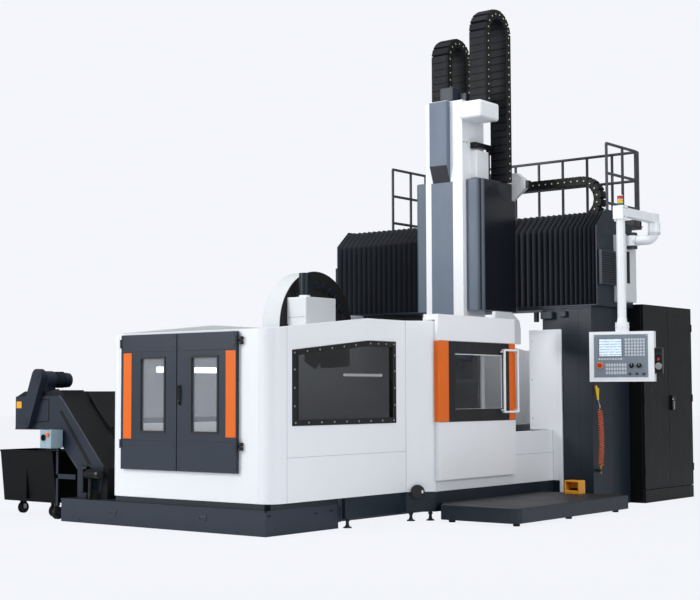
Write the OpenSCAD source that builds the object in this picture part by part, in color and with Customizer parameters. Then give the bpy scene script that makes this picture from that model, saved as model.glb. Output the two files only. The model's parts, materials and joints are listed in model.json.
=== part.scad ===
// Five-axis machining center of the travelling-table bridge type.
// +X is the operator's side, +Y runs along the bed, +Z is up. The origin lies on the floor,
// on the bed's centreline, in the plane of the spindle axis.

/* [Bed and table] */
// Width of the clamping surface
table_w = 1400; // [1000:50:1500]
// Length of the table
table_l = 2700; // [2000:100:3000]
// Height of the clamping surface
table_z = 920; // [800:10:960]
// Width of the bed casting
bed_w = 1160; // [900:20:1240]

/* [Enclosure] */
// Outer width of the front enclosure
enclosure_w = 2164; // [2000:10:2300]
// Distance from the spindle plane to the front end wall
front_reach = 4100; // [3700:50:4500]
// Distance from the spindle plane to the rear end wall
rear_reach = 3900; // [3300:50:4300]
// Underside of the white panels
skirt_z = 292; // [240:4:340]
// Top of the side panels at the end wall
low_top = 1898; // [1800:10:1960]
// Top of the side panels from the knee on
high_top = 2040; // [1960:10:2100]
// Thickness of the panels
panel_t = 50; // [30:5:60]
// Outer plane of the operator's bay
bay_x = 1300; // [1250:10:1320]

/* [Doors] */
// Height of the end doors
end_door_h = 1316; // [1200:10:1330]
// Underside of the end doors
end_door_z = 562; // [540:10:580]
// Length of the operator's door
door_l = 1495; // [1400:5:1500]
// Underside of the operator's door
door_z = 407; // [390:5:430]
// Top of the operator's door
door_top = 2110; // [2085:5:2140]
// Travel of the operator's door
door_travel = 885; // [700:5:885]

/* [Bridge] */
// Half the width over the columns
column_x = 1810; // [1800:5:1840]
// Width of each column
column_w = 640; // [560:10:660]
// Underside of the crossbeam
beam_z = 2290; // [2250:5:2330]
// Height of the bellows' front
bellows_h = 905; // [800:10:920]
// Front plane of the bellows
bridge_y = 585; // [580:1:590]
// Half the length of the bellows
bellows_x = 1880; // [1870:5:1890]

/* [Saddle and ram] */
// Place of the ram along the crossbeam
ram_x = 352; // [200:4:500]
// Width of the saddle housing
saddle_w = 936; // [900:4:980]
// Top of the saddle housing
saddle_top = 3765; // [3700:5:3800]
// Width of the ram
ram_w = 520; // [460:4:524]
// Top of the ram
ram_top = 4690; // [4650:10:4750]
// Downward travel of the ram
ram_travel = 600; // [400:10:620]

/* [Operator's side] */
// Outer edge of the platform
platform_x = 2375; // [2200:25:2450]
// Height of the platform
platform_h = 176; // [150:2:200]
// Front of the electrical cabinet
cabinet_x = 1998; // [1960:2:2020]
// Height of the electrical cabinet
cabinet_h = 2338; // [2200:2:2400]
// Length of the pendant's upper arm
arm_l = 820; // [700:10:830]
// Width of the control pendant
pendant_w = 700; // [600:10:740]

/* [Chip conveyor] */
// Front of the chip tray
tray_y = -4113; // [-4150:1:-4110]
// Height of the chip tray
tray_h = 234; // [200:2:250]
// Near side of the conveyor housing
conveyor_y = -3960; // [-3980:5:-3940]
// Width of the conveyor housing
conveyor_w = 350; // [300:10:360]

/* [Hidden] */

$fn = 48;
gap = 6;
half_w = enclosure_w / 2;
corner_r = 150;
knee_y = -front_reach + 1450;
chamfer_y = -front_reach + 2080;
chamfer = bay_x - half_w;
bay_y = chamfer_y + chamfer;
post_y = bridge_y - 18;
door_x = bay_x + gap + 2;
door_t = 40;
door_y = post_y - 5 - door_travel - door_l;
opening_y = post_y - door_l + 60;
column_y = bridge_y;
column_d = 905;
bellows_top = beam_z + bellows_h;
ridge_z = bellows_top + 210;
ridge_y = bridge_y + 231;
bellows_back = ridge_y + 84;
beam_back = bridge_y + column_d;
ram_d = 460;
saddle_y = -165;
saddle_z = 2244;
ram_foot = 2080;
swivel_x = 2380;
swivel_y = 1050;
arm_mount_x = 2100;
tube_y = swivel_y - arm_l;
beam_box_y = bridge_y + 405;

white = "#e9edf2";
slate = "#474d5a";
charcoal = "#2c3036";
black = "#1b1d21";
orange = "#f47b2a";
grey = "#b9bec4";
steel = "#9aa1a8";

// A block between two corners
module block(x0, x1, y0, y1, z0, z1) {
    translate([x0, y0, z0]) cube([x1 - x0, y1 - y0, z1 - z0]);
}

// An outline in Y and Z, as thick as the distance from x0 to x1
module side_plate(x0, x1) {
    translate([x0, 0, 0]) rotate([90, 0, 90]) linear_extrude(height = x1 - x0) children();
}

// An outline in X and Z, as thick as the distance from y0 to y1
module cross_plate(y0, y1) {
    translate([0, y1, 0]) rotate([90, 0, 0]) linear_extrude(height = y1 - y0) children();
}

// A round bar along one axis, from the given centre of its first end
module bar_x(x0, x1, y, z, r) {
    translate([x0, y, z]) rotate([0, 90, 0]) cylinder(h = x1 - x0, r = r);
}
module bar_y(x, y0, y1, z, r) {
    translate([x, y0, z]) rotate([-90, 0, 0]) cylinder(h = y1 - y0, r = r);
}
module bar_z(x, y, z0, z1, r) {
    translate([x, y, z0]) cylinder(h = z1 - z0, r = r);
}

// A tube along a route, as one solid with flat ends
function unit(v) = v / norm(v);
function tangent(p, i) = unit(p[min(i + 1, len(p) - 1)] - p[max(i - 1, 0)]);
function across(t) = unit(cross(t, abs(t[0]) < 0.9 ? [1, 0, 0] : [0, 1, 0]));
module swept_tube(route, r, sides = 8) {
    n = len(route);
    rings = [for (i = [0 : n - 1]) let (t = tangent(route, i), u = across(t), v = cross(t, u))
        for (k = [0 : sides - 1]) route[i] + r * (cos(360 * k / sides) * u + sin(360 * k / sides) * v)];
    walls = [for (i = [0 : n - 2], k = [0 : sides - 1]) let (m = (k + 1) % sides)
        [i * sides + k, (i + 1) * sides + k, (i + 1) * sides + m, i * sides + m]];
    first = [for (k = [0 : sides - 1]) k];
    last = [for (k = [sides - 1 : -1 : 0]) (n - 1) * sides + k];
    polyhedron(points = rings, faces = concat(walls, [first], [last]));
}

module machine_bed() {
    color(steel) difference() {
        union() {
            block(-bed_w / 2, bed_w / 2, tray_y + 1053, rear_reach - 300, 0, 560);
            block(-bed_w / 2, bed_w / 2, -front_reach + 300, tray_y + 1054, tray_h, 560);
            for (s = [-1, 1])
                block(s * 430 - 90, s * 430 + 90, -front_reach + 300, rear_reach - 300, 559, 640);
        }
        block(-250, 250, -front_reach + 299, rear_reach - 299, 420, 561);
    }
}

module work_table() {
    slots = 7;
    color(grey) difference() {
        union() {
            block(-table_w / 2, table_w / 2, -table_l / 2, table_l / 2, table_z - 170, table_z);
            for (s = [-1, 1])
                block(s * 430 - 110, s * 430 + 110, -table_l / 2, table_l / 2, 640, table_z - 169);
        }
        for (i = [0 : slots - 1]) {
            x = (i - (slots - 1) / 2) * table_w / slots;
            block(x - 11, x + 11, -table_l / 2 - 1, table_l / 2 + 1, table_z - 40, table_z + 1);
            block(x - 18, x + 18, -table_l / 2 - 1, table_l / 2 + 1, table_z - 40, table_z - 24);
        }
    }
}

module chip_tray() {
    y1 = tray_y + 1053;
    color(slate) {
        block(-1775, 1025, tray_y, y1, 0, tray_h);
        block(900, 1025, y1 - 1, y1 + 45, 60, tray_h - 20);
    }
}

// The side panel's outline in Y and Z: low at the end wall, rising to the knee, then level
module side_outline(y0, y1, z0 = skirt_z, drop = 0) {
    polygon([[y0, z0], [y1, z0], [y1, high_top - drop], [knee_y, high_top - drop],
        [y0, low_top - drop]]);
}

// The side window's opening in Y and Z
module window_outline(grow = 0) {
    slope = (high_top - low_top) / (knee_y + front_reach);
    y0 = -front_reach + 290 - grow;
    y1 = chamfer_y - 170 + grow;
    z0 = 998 - grow;
    z1 = low_top - 224 + 290 * slope + grow;
    polygon([[y0, z0], [y1, z0], [y1, high_top - 221 + grow], [knee_y, high_top - 221 + grow], [y0, z1]]);
}

module end_wall() {
    color(white) difference() {
        block(-half_w + corner_r, half_w - corner_r, -front_reach, -front_reach + panel_t,
            skirt_z, low_top);
        block(-815, 635, -front_reach - 1, -front_reach + panel_t + 1, end_door_z + 45,
            end_door_z + end_door_h - 45);
    }
}

// The front wall on the +X side, with its round corner post and its window opening
module front_side_wall() {
    difference() {
        intersection() {
            linear_extrude(height = high_top) union() {
                difference() {
                    translate([half_w - corner_r, -front_reach + corner_r]) circle(r = corner_r);
                    translate([half_w - corner_r, -front_reach + corner_r])
                        circle(r = corner_r - panel_t);
                    translate([half_w - 3 * corner_r, -front_reach])
                        square([2 * corner_r, 2 * corner_r]);
                    translate([half_w - 2 * corner_r, -front_reach + corner_r])
                        square([2 * corner_r, corner_r]);
                }
                translate([half_w - panel_t, -front_reach + corner_r])
                    square([panel_t, chamfer_y + front_reach - corner_r]);
            }
            side_plate(half_w - corner_r - 1, half_w + 1) side_outline(-front_reach, chamfer_y);
        }
        side_plate(half_w - panel_t - 1, half_w + 1) window_outline();
    }
}

// The bay beside the doorway: the slanted panel and the plane wall behind the open door
module bay_wall_outline() {
    polygon([[half_w - panel_t, chamfer_y], [half_w, chamfer_y], [bay_x, bay_y],
        [bay_x, opening_y], [bay_x - panel_t, opening_y], [bay_x - panel_t, bay_y + panel_t / 2]]);
}

module right_front_wall() {
    color(white) front_side_wall();
}

module right_bay_wall() {
    color(white) difference() {
        translate([0, 0, skirt_z]) linear_extrude(height = high_top - skirt_z) bay_wall_outline();
        block(bay_x - panel_t - 1, bay_x + 1, bay_y + 290, opening_y - 60, 1120, 1720);
    }
}

module door_sill() {
    color(white) block(bay_x - panel_t, bay_x, opening_y, post_y, skirt_z, 867);
}

// The beam over the doorway, just inside the door's cap, with its slanted far corner
module door_lintel() {
    x0 = bay_x - 195;
    color("#c9c8c3") {
        side_plate(x0, x0 + 45) polygon([[opening_y, 1850], [135, 1850], [135, 2024], [108, 2115],
            [-55, 2205], [-400, 2205], [-430, 2040], [opening_y, 2040]]);
        block(x0 + 44, bay_x, opening_y, -340, 1850, 1870);
        block(bay_x - panel_t, bay_x, opening_y, -340, 1850, high_top);
    }
}

module post_panel() {
    color(white) {
        block(bay_x - 302, bay_x + 86, post_y, bridge_y, 867, 2028);
        block(bay_x + 86, bay_x + 125, post_y - 4, bridge_y, 0, 2028);
        block(bay_x, bay_x + 87, post_y, bridge_y, skirt_z, 868);
    }
}

module left_wall() {
    color(white) {
        mirror([1, 0, 0]) front_side_wall();
        translate([-half_w, chamfer_y, skirt_z])
            cube([panel_t, beam_back + 10 - chamfer_y, high_top - skirt_z]);
    }
}

module rear_enclosure() {
    y0 = beam_back + 10;
    y1 = rear_reach;
    color(white) difference() {
        intersection() {
            block(-half_w, half_w, y0, y1, 0, high_top);
            side_plate(-half_w - 1, half_w + 1) polygon([[y0, 0], [y1, 0], [y1, low_top],
                [y1 - 1200, high_top], [y0, high_top]]);
        }
        block(-half_w + panel_t, half_w - panel_t, y0 - 1, y1 - panel_t, -1, high_top + 1);
    }
}

// Panes with their black frames, proud of the panel's face
module side_window() {
    side_plate(half_w - panel_t + 4, half_w + 6) difference() {
        window_outline();
        window_outline(-60);
    }
    side_plate(half_w - 30, half_w - 20) window_outline(-50);
}

module side_windows() {
    color(black) {
        side_window();
        mirror([1, 0, 0]) side_window();
        block(bay_x - 30, bay_x - 20, bay_y + 290, opening_y - 60, 1120, 1720);
    }
}

// The dark base under the white panels, its rails in the tray and its levelling feet
module plinth() {
    y0 = tray_y + 1093;
    color(charcoal) {
        translate([0, 0, 90]) linear_extrude(height = skirt_z - 90) polygon([[half_w - 45, y0],
            [half_w - 5, y0], [half_w - 5, chamfer_y], [bay_x - 5, bay_y], [bay_x - 5, post_y],
            [bay_x - 45, post_y], [bay_x - 45, bay_y + 17], [half_w - 45, chamfer_y + 17]]);
        block(-half_w + 5, -half_w + 45, y0, post_y, 90, skirt_z);
        for (s = [-1, 1]) block(s * (half_w - 80) - 20, s * (half_w - 80) + 20, -front_reach + 60,
            y0 - 40, tray_h, skirt_z);
        block(-half_w + 99, half_w - 99, -front_reach + 60, -front_reach + 100, tray_h, skirt_z);
        block(-half_w + 99, half_w - 99, -front_reach + 10, -front_reach + 61, tray_h, skirt_z);
        for (p = [[half_w - 25, y0 + 60], [half_w + 30, chamfer_y + 35], [bay_x - 60, bay_y - 20],
            [bay_x - 45, opening_y], [bay_x - 45, post_y - 60], [25 - half_w, y0 + 60],
            [25 - half_w, chamfer_y], [25 - half_w, post_y - 60]])
            bar_z(p[0], p[1], 0, 91, 16);
    }
}

module end_leaf(w, window_x, window_w) {
    t = 40;
    z0 = end_door_z + 376;
    h = end_door_h - 608;
    translate([0, -front_reach - t - 0.5, 0]) {
        difference() {
            translate([0, 0, end_door_z]) cube([w, t, end_door_h]);
            translate([window_x, -1, z0]) cube([window_w, t + 2, h]);
        }
        translate([window_x - 1, t / 2 - 3, z0 - 1]) cube([window_w + 2, 6, h + 2]);
        for (z = [768, 1749]) bar_z(0, 0, z, z + 86, 14);
    }
}

module end_door_left() {
    color(slate) translate([-863, 0, 0]) end_leaf(769, 281, 327);
}

module end_door_right() {
    color(slate) translate([683, 0, 0]) mirror([1, 0, 0]) end_leaf(766, 237, 338);
}

module operator_door() {
    y1 = door_y + door_l;
    color(orange) union() {
        difference() {
            block(door_x, door_x + door_t, door_y, y1, door_z, door_top);
            block(door_x - 1, door_x + door_t + 1, door_y + 305, y1 - 234, 1132, 1699);
        }
        block(door_x + 16, door_x + 24, door_y + 304, y1 - 233, 1131, 1700);
        block(bay_x - 133, door_x + door_t, door_y, y1, door_top - 58, door_top);
        block(bay_x - 40, bay_x - 10, door_y + 100, y1 - 100, high_top + 0.5, door_top - 57);
        for (y = [y1 - 300, y1 - 24]) {
            bar_z(door_x + door_t + 50, y, 1082, 1770, 14);
            for (z = [1110, 1742]) bar_x(door_x + door_t - 1, door_x + door_t + 50, y, z, 10);
        }
        for (z = [1090, 1762]) bar_y(door_x + door_t + 50, y1 - 300, y1 - 24, z, 12);
    }
}

module platform() {
    y0 = bay_y - 184;
    y1 = bridge_y - 265;
    r = 100;
    color(steel) {
        translate([0, 0, 32]) linear_extrude(height = platform_h - 32) union() {
            polygon([[bay_x - 5, y0 + 300], [bay_x + 190, y0], [platform_x - r, y0],
                [platform_x - r, y1], [bay_x - 5, y1]]);
            translate([platform_x - 2 * r, y0 + r]) square([2 * r, y1 - y0 - r]);
            translate([platform_x - r, y0 + r]) circle(r = r);
        }
        for (x = [bay_x + 230, platform_x - 90], y = [y0 + 130, (y0 + y1) / 2, y1 - 130])
            bar_z(x, y, 0, 33, 34);
    }
}

module foot_pedal() {
    x = 1700;
    y = bridge_y - 470;
    color("#f0a822") difference() {
        block(x, x + 180, y, y + 150, platform_h, platform_h + 150);
        block(x + 15, x + 165, y - 1, y + 120, platform_h + 40, platform_h + 130);
    }
}

module column() {
    block(column_x - column_w, column_x, column_y, beam_back, 0, beam_z);
}

module column_left() {
    color(charcoal) mirror([1, 0, 0]) column();
}

module column_right() {
    color(charcoal) {
        column();
        block(column_x - 1, column_x + 67, bridge_y + 50, bridge_y + 90, 400, 434.5);
    }
}

module crossbeam() {
    color(charcoal) {
        block(-bellows_x, bellows_x, bellows_back, beam_back, beam_z, bellows_top + 60);
        block(-bellows_x, bellows_x, bellows_back, bellows_back + 20, bellows_top + 59,
            bellows_top + 145);
    }
}

// The bellows' outline in Y and Z
module bellows_outline() {
    polygon([[bridge_y, beam_z], [bridge_y, bellows_top], [ridge_y, ridge_z],
        [bellows_back, ridge_z], [bellows_back, beam_z]]);
}

module bellows_left() {
    color(charcoal) side_plate(-bellows_x, ram_x) bellows_outline();
}

module bellows_right() {
    color(charcoal) side_plate(ram_x, bellows_x) bellows_outline();
}

module beam_ends() {
    color(charcoal) for (s = [0, 1]) mirror([s, 0, 0]) {
        side_plate(bellows_x, bellows_x + 12) polygon([[bridge_y - 2, beam_z - 3],
            [bridge_y - 2, bellows_top + 4], [ridge_y, ridge_z + 4], [ridge_y + 190, ridge_z + 4],
            [ridge_y + 190, beam_z - 3]]);
        block(bellows_x + 11, bellows_x + 60, bridge_y + 25, bridge_y + 375, 2530, 2925);
        block(bellows_x + 11, bellows_x + 170, beam_box_y, beam_box_y + 250, 2345, 3125);
        for (z = [2950, 3105]) block(bellows_x + 169, arm_mount_x + 45, swivel_y - 45, swivel_y + 45,
            z, z + 35);
    }
}

module walkway() {
    color(charcoal) block(-1290, column_x + 60, bellows_back + 20, beam_back + 280,
        bellows_top + 60, bellows_top + 90);
}

rail_x = [-1250, column_x + 32];
rail_y = [bellows_back + 45, beam_back + 250];
rail_z = [3501, 3851, 4201];
rail_r = 17;

module side_rails(x) {
    for (y = [rail_y[0], (rail_y[0] + rail_y[1]) / 2, rail_y[1] - 60])
        bar_z(x, y, bellows_top + 90, rail_z[2], rail_r);
    for (z = rail_z) bar_y(x, rail_y[0], rail_y[1] - 60, z, rail_r);
}

module rails_left() {
    color("#3c4048") side_rails(rail_x[0]);
}

module rails_right() {
    color("#3c4048") side_rails(rail_x[1]);
}

module rails_rear() {
    color("#3c4048") union() {
        for (i = [0 : 9]) bar_z(rail_x[0] + i * (rail_x[1] - rail_x[0]) / 9, rail_y[1],
            bellows_top + 90, rail_z[2], rail_r);
        for (z = rail_z) bar_x(rail_x[0], rail_x[1], rail_y[1], z, rail_r);
    }
}

// The housing around the ram, open at the top and bottom
module saddle() {
    x0 = ram_x - saddle_w / 2;
    x1 = ram_x + saddle_w / 2;
    y1 = bridge_y - 6;
    c = 55;
    color("#6f7c8d") {
        translate([0, 0, saddle_z]) linear_extrude(height = saddle_top - saddle_z) difference() {
            polygon([[x0 + c, saddle_y], [x1 - c, saddle_y], [x1, saddle_y + c], [x1, y1],
                [x0, y1], [x0, saddle_y + c]]);
            translate([ram_x - ram_w / 2 - 12, saddle_y - 1]) square([ram_w + 24, 60]);
            translate([ram_x - ram_w / 2 - 12, saddle_y + 40])
                square([ram_w + 136, ram_d / 2 - saddle_y - 28]);
        }
        block(ram_x - ram_w / 2 - 13, ram_x - ram_w / 2 - 0.5, -80, 80, saddle_z + 60,
            saddle_top - 60);
        block(ram_x - 150, ram_x + 150, ram_d / 2 + 0.5, ram_d / 2 + 13, saddle_z + 60,
            saddle_top - 60);
        block(ram_x - 180, ram_x + 180, y1 - 1, bellows_back + 20, ridge_z + 15, saddle_top - 5);
        block(ram_x - 180, ram_x + 180, bellows_back + 2, bellows_back + 20, bellows_top + 145.5,
            ridge_z + 16);
    }
}

// The ram with its raised front cover and a valve box on its side
module ram() {
    x0 = ram_x - ram_w / 2;
    y0 = -ram_d / 2;
    color(white) {
        block(x0, x0 + ram_w, y0, -y0, ram_foot, ram_top);
        side_plate(ram_x - 147, ram_x + 88) polygon([[y0 + 1, 3745], [y0 - 70, 3930], [y0 - 70, ram_top],
            [y0 + 1, ram_top]]);
        block(x0 + ram_w - 1, x0 + ram_w + 90, -60, 190, 3790, 4115);
    }
}

// A fork head that tilts a spindle between its cheeks
module spindle_head() {
    fork_z = ram_foot - 90;
    tilt_z = fork_z - 200;
    color(grey) {
        bar_z(ram_x, 0, fork_z, ram_foot, 220);
        for (s = [-1, 1]) {
            block(ram_x + s * 205 - 45, ram_x + s * 205 + 45, -140, 140, tilt_z, fork_z + 1);
            bar_x(ram_x + s * 205 - 45, ram_x + s * 205 + 45, 0, tilt_z, 140);
        }
        bar_x(ram_x - 161, ram_x + 161, 0, tilt_z, 125);
        bar_z(ram_x, 0, tilt_z - 190, tilt_z, 105);
        bar_z(ram_x, 0, tilt_z - 230, tilt_z - 189, 60);
    }
}

module ram_top_box() {
    x0 = ram_x + ram_w / 2 + 25;
    color(white) block(x0 - 25, x0 + 273, -300, 110, ram_top - 245, ram_top - 40);
}

// A cable chain's U bend over two legs, in the Y and Z plane
module chain_bend(x, w, y_front, y_rear, z, r_in) {
    t = (y_rear - y_front) / 2 - r_in;
    yc = (y_front + y_rear) / 2;
    translate([x, yc, z]) rotate([90, 0, 90]) linear_extrude(height = w) difference() {
        circle(r = r_in + t);
        circle(r = r_in);
        translate([-r_in - t - 1, -r_in - t - 1]) square([2 * (r_in + t) + 2, r_in + t + 1]);
    }
}

chain_t = 110;
chain_w = 230;
chain_x = [ram_x - 235, ram_x + 300];
chain_front = -130;
chain_rear = [380, 420];
chain_top = [5250, 5500];

module ram_chains() {
    color(black) for (i = [0, 1]) {
        z0 = i == 0 ? ram_top : ram_top - 40;
        block(chain_x[i], chain_x[i] + chain_w, chain_front, chain_front + chain_t, z0, chain_top[i] + 1);
        chain_bend(chain_x[i], chain_w, chain_front, chain_rear[i], chain_top[i],
            (chain_rear[i] - chain_front) / 2 - chain_t);
        block(chain_x[i], chain_x[i] + chain_w, chain_rear[i] - chain_t, chain_rear[i],
            chain_top[i] - 60, chain_top[i] + 1);
    }
}

module saddle_chain_legs() {
    color(black) for (i = [0, 1])
        block(chain_x[i], chain_x[i] + chain_w, chain_rear[i] - chain_t, chain_rear[i],
            saddle_top, chain_top[i] - 61);
}

// The crossbeam's cable chain: a long loop that lies on the walkway
module beam_chain() {
    t = 100;
    z0 = bellows_top + 90;
    r = (3840 - z0) / 2;
    y0 = bellows_back + 30;
    xl = ram_x - saddle_w / 2 - 10;
    xr = bellows_x - 105 - r;
    color(black) cross_plate(y0, y0 + 130) difference() {
        union() {
            translate([xl, z0]) square([xr - xl, 2 * r]);
            for (x = [xl, xr]) translate([x, z0 + r]) circle(r = r);
        }
        translate([xl, z0 + t]) square([xr - xl, 2 * (r - t)]);
        for (x = [xl, xr]) translate([x, z0 + r]) circle(r = r - t);
    }
}

module tool_magazine() {
    color("#dfe3e6") {
        bar_x(-1680, -1400, -440, 2097, 680);
        block(-1620, -1460, 100, bridge_y, 1750, 2280);
    }
}

module tool_changer() {
    color("#c4c9ce") {
        block(-1400, -1100, -1000, -430, 1850, 2440);
        bar_z(-1200, -906, 2439, 2728, 65);
    }
}

module cabinet() {
    x0 = cabinet_x - 700;
    y0 = beam_back + 8;
    color(charcoal) {
        difference() {
            block(x0, cabinet_x - 24.5, beam_back, y0 + 1318, 0, cabinet_h);
            block(x0 + 40, cabinet_x, y0 + 40, y0 + 1278, 190, cabinet_h - 60);
        }
        block(cabinet_x - 25.5, cabinet_x, y0, y0 + 1318, 0, 150);
        block(x0 + 250, cabinet_x - 60, y0 + 1317, y0 + 1430, 615, 1860);
    }
}

module cabinet_leaf(y0, y1) {
    block(cabinet_x - 24, cabinet_x, y0, y1, 156, cabinet_h);
}

module cabinet_pins(y) {
    for (z = [330, 1180, 2050]) bar_z(cabinet_x, y, z, z + 90, 9);
}

module cabinet_door_left() {
    y0 = beam_back + 8;
    color(charcoal) {
        cabinet_leaf(y0, y0 + 656);
        cabinet_pins(y0);
    }
}

module cabinet_door_right() {
    y0 = beam_back + 8;
    color(charcoal) {
        cabinet_leaf(y0 + 662, y0 + 1318);
        cabinet_pins(y0 + 1318);
        block(cabinet_x - 1, cabinet_x + 24, y0 + 700, y0 + 740, 1080, 1260);
    }
}

module lower_arm() {
    color(white) {
        bar_z(arm_mount_x, swivel_y, 2985.5, 3104.5, 35);
        bar_x(arm_mount_x, swivel_x, swivel_y, 3045, 42);
        bar_z(swivel_x, swivel_y, 3003, 3125.5, 70);
    }
}

module upper_arm() {
    color(white) {
        bar_z(swivel_x, swivel_y, 3126, 3235, 70);
        block(swivel_x - 45, swivel_x + 45, tube_y - 50, swivel_y + 45, 3234, 3330);
        bar_z(swivel_x, tube_y, 2060, 3235, 48);
        bar_z(swivel_x, tube_y, 2015, 2061, 75);
    }
}

module stack_light() {
    color("red") bar_z(swivel_x, tube_y, 3330, 3480, 34);
}

module pendant() {
    t = 150;
    color(white) translate([swivel_x, tube_y, 0]) rotate([0, 0, 18]) {
        block(-pendant_w / 2, pendant_w / 2, -t / 2, t / 2, 1415, 1960);
        bar_z(0, 0, 1959, 2014.5, 75);
    }
}

module handwheel() {
    color(black) translate([swivel_x, tube_y, 0]) rotate([0, 0, 18])
        block(pendant_w / 2, pendant_w / 2 + 85, -45, 45, 1500, 1780);
}

cable_route = [[300, 0, 1414.6], [302, 0, 1250], [310, 0, 1000], [330, 0, 830], [352, 0, 790],
    [374, 0, 830], [388, 0, 1000], [392, 0, 1250], [392, 0, 1500]];

module handwheel_cable() {
    color(black) translate([swivel_x, tube_y, 0]) rotate([0, 0, 18]) swept_tube(cable_route, 7);
}

hose_x = column_x + 55;
hose_y = bridge_y + 70;

module blow_gun() {
    color("#e3c93c") {
        block(column_x, column_x + 30, hose_y - 60, hose_y - 20, 1290, 1340);
        block(hose_x - 26, hose_x + 18, hose_y - 60, hose_y - 25, 1180, 1350);
        block(hose_x - 26, hose_x + 18, hose_y - 60, hose_y + 20, 1130, 1181);
    }
}

module air_hose() {
    color("#e8552a") bar_z(hose_x, hose_y, 435, 1130, 42);
}

// The inclined housing, in X and Z
module conveyor() {
    y0 = conveyor_y;
    color(slate) {
        cross_plate(y0, y0 + conveyor_w) polygon([[-2700, 930], [-2105, 935], [-1676, 514],
            [-1560, 300], [-1560, tray_h], [-1250, tray_h], [-1250, 544], [-1899, 1216], [-1960, 1330],
            [-2560, 1330], [-2700, 1271]]);
        block(-2005, -1970, y0 - 30, y0, 140, 840);
        block(-2005, -1700, y0 - 30, y0, 420, 470);
        block(-1651, -1514, y0 - 45, y0 - 1, tray_h, 561);
        bar_x(-2010, -1965, y0 - 15, 65, 65);
        block(-2000, -1975, y0 - 25, y0 - 5, 100, 145);
    }
}

module conveyor_hood() {
    y0 = conveyor_y + conveyor_w;
    color(black) cross_plate(y0, y0 + 420) polygon([[-2399, 1324], [-1954, 1329], [-1789, 1141],
        [-1600, 953], [-1600, tray_h + 20], [-1900, tray_h + 20]]);
}

module conveyor_drive() {
    y0 = conveyor_y;
    color(charcoal) {
        cross_plate(y0 - 75, y0 - 1) hull() {
            translate([-2281, 1488]) circle(r = 80, $fn = 32);
            translate([-2469, 1010]) circle(r = 80, $fn = 32);
        }
        block(-2350, -2215, y0 - 1, y0 + 130, 1330, 1520);
        bar_y(-2281, y0 + 129, y0 + 360, 1450, 78);
    }
}

module switch_box() {
    y0 = conveyor_y;
    color("#93a9b5") block(-2075, -1900, y0 - 190, y0 - 30, 740, 930);
}

module chip_bin() {
    x0 = -3010;
    x1 = -2150;
    y0 = conveyor_y + 40;
    y1 = y0 + 500;
    color(charcoal) {
        difference() {
            side_plate(x0, x1) polygon([[y0 + 60, 150], [y1 - 60, 150], [y1, 690], [y0, 690]]);
            side_plate(x0 + 6, x1 - 6) polygon([[y0 + 67, 156], [y1 - 67, 156], [y1 - 6, 691],
                [y0 + 6, 691]]);
        }
        for (p = [[x0 + 90, (y0 + y1) / 2], [x1 - 100, y0 + 120], [x1 - 100, y1 - 120]]) {
            bar_x(p[0] - 20, p[0] + 20, p[1], 62, 62);
            block(p[0] - 34, p[0] + 34, p[1] - 20, p[1] + 20, 100, 151);
        }
    }
}

machine_bed();
work_table();
chip_tray();
end_wall();
right_front_wall();
right_bay_wall();
door_sill();
door_lintel();
post_panel();
left_wall();
rear_enclosure();
side_windows();
plinth();
end_door_left();
end_door_right();
operator_door();
platform();
foot_pedal();
column_left();
column_right();
crossbeam();
bellows_left();
bellows_right();
beam_ends();
walkway();
rails_left();
rails_right();
rails_rear();
saddle();
ram();
spindle_head();
ram_top_box();
ram_chains();
saddle_chain_legs();
beam_chain();
tool_magazine();
tool_changer();
cabinet();
cabinet_door_left();
cabinet_door_right();
lower_arm();
upper_arm();
stack_light();
pendant();
handwheel();
handwheel_cable();
blow_gun();
air_hose();
conveyor();
conveyor_hood();
conveyor_drive();
switch_box();
chip_bin();
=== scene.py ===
import json
import math
import bpy
import bmesh
from mathutils import Matrix, Vector


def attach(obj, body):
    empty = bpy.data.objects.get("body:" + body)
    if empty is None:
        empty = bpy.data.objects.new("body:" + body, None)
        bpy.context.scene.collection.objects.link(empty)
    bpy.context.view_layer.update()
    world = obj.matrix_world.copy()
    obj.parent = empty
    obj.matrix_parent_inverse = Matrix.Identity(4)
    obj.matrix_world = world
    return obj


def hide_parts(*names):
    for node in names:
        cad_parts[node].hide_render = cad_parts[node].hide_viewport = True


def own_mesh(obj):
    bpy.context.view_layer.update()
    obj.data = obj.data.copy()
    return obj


# The view. The machine stands on a pale floor that runs into a pale backdrop, and the camera
# stands low at its front corner, on the operator's side, as the photographer did.
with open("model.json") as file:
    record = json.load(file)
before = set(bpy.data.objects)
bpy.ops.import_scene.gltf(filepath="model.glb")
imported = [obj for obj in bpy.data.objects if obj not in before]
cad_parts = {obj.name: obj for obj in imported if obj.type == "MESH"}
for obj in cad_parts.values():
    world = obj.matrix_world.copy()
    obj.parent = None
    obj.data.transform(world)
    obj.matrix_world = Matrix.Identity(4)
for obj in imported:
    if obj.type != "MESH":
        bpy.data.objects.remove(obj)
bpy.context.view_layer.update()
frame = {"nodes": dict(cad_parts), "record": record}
scene = bpy.context.scene
scene.view_settings.view_transform = "Standard"
camera = bpy.data.objects.new("photo_camera", bpy.data.cameras.new("photo_camera"))
scene.collection.objects.link(camera)
camera.location = (9.642, -13.850, 1.300)
camera.rotation_euler = tuple(math.radians(a) for a in (93.704, 0.195, 38.129))
camera.data.sensor_width = 36.0
camera.data.lens = 73.18
camera.data.shift_y = 1 / 700
camera.data.clip_end = 200
scene.camera = camera


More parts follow.
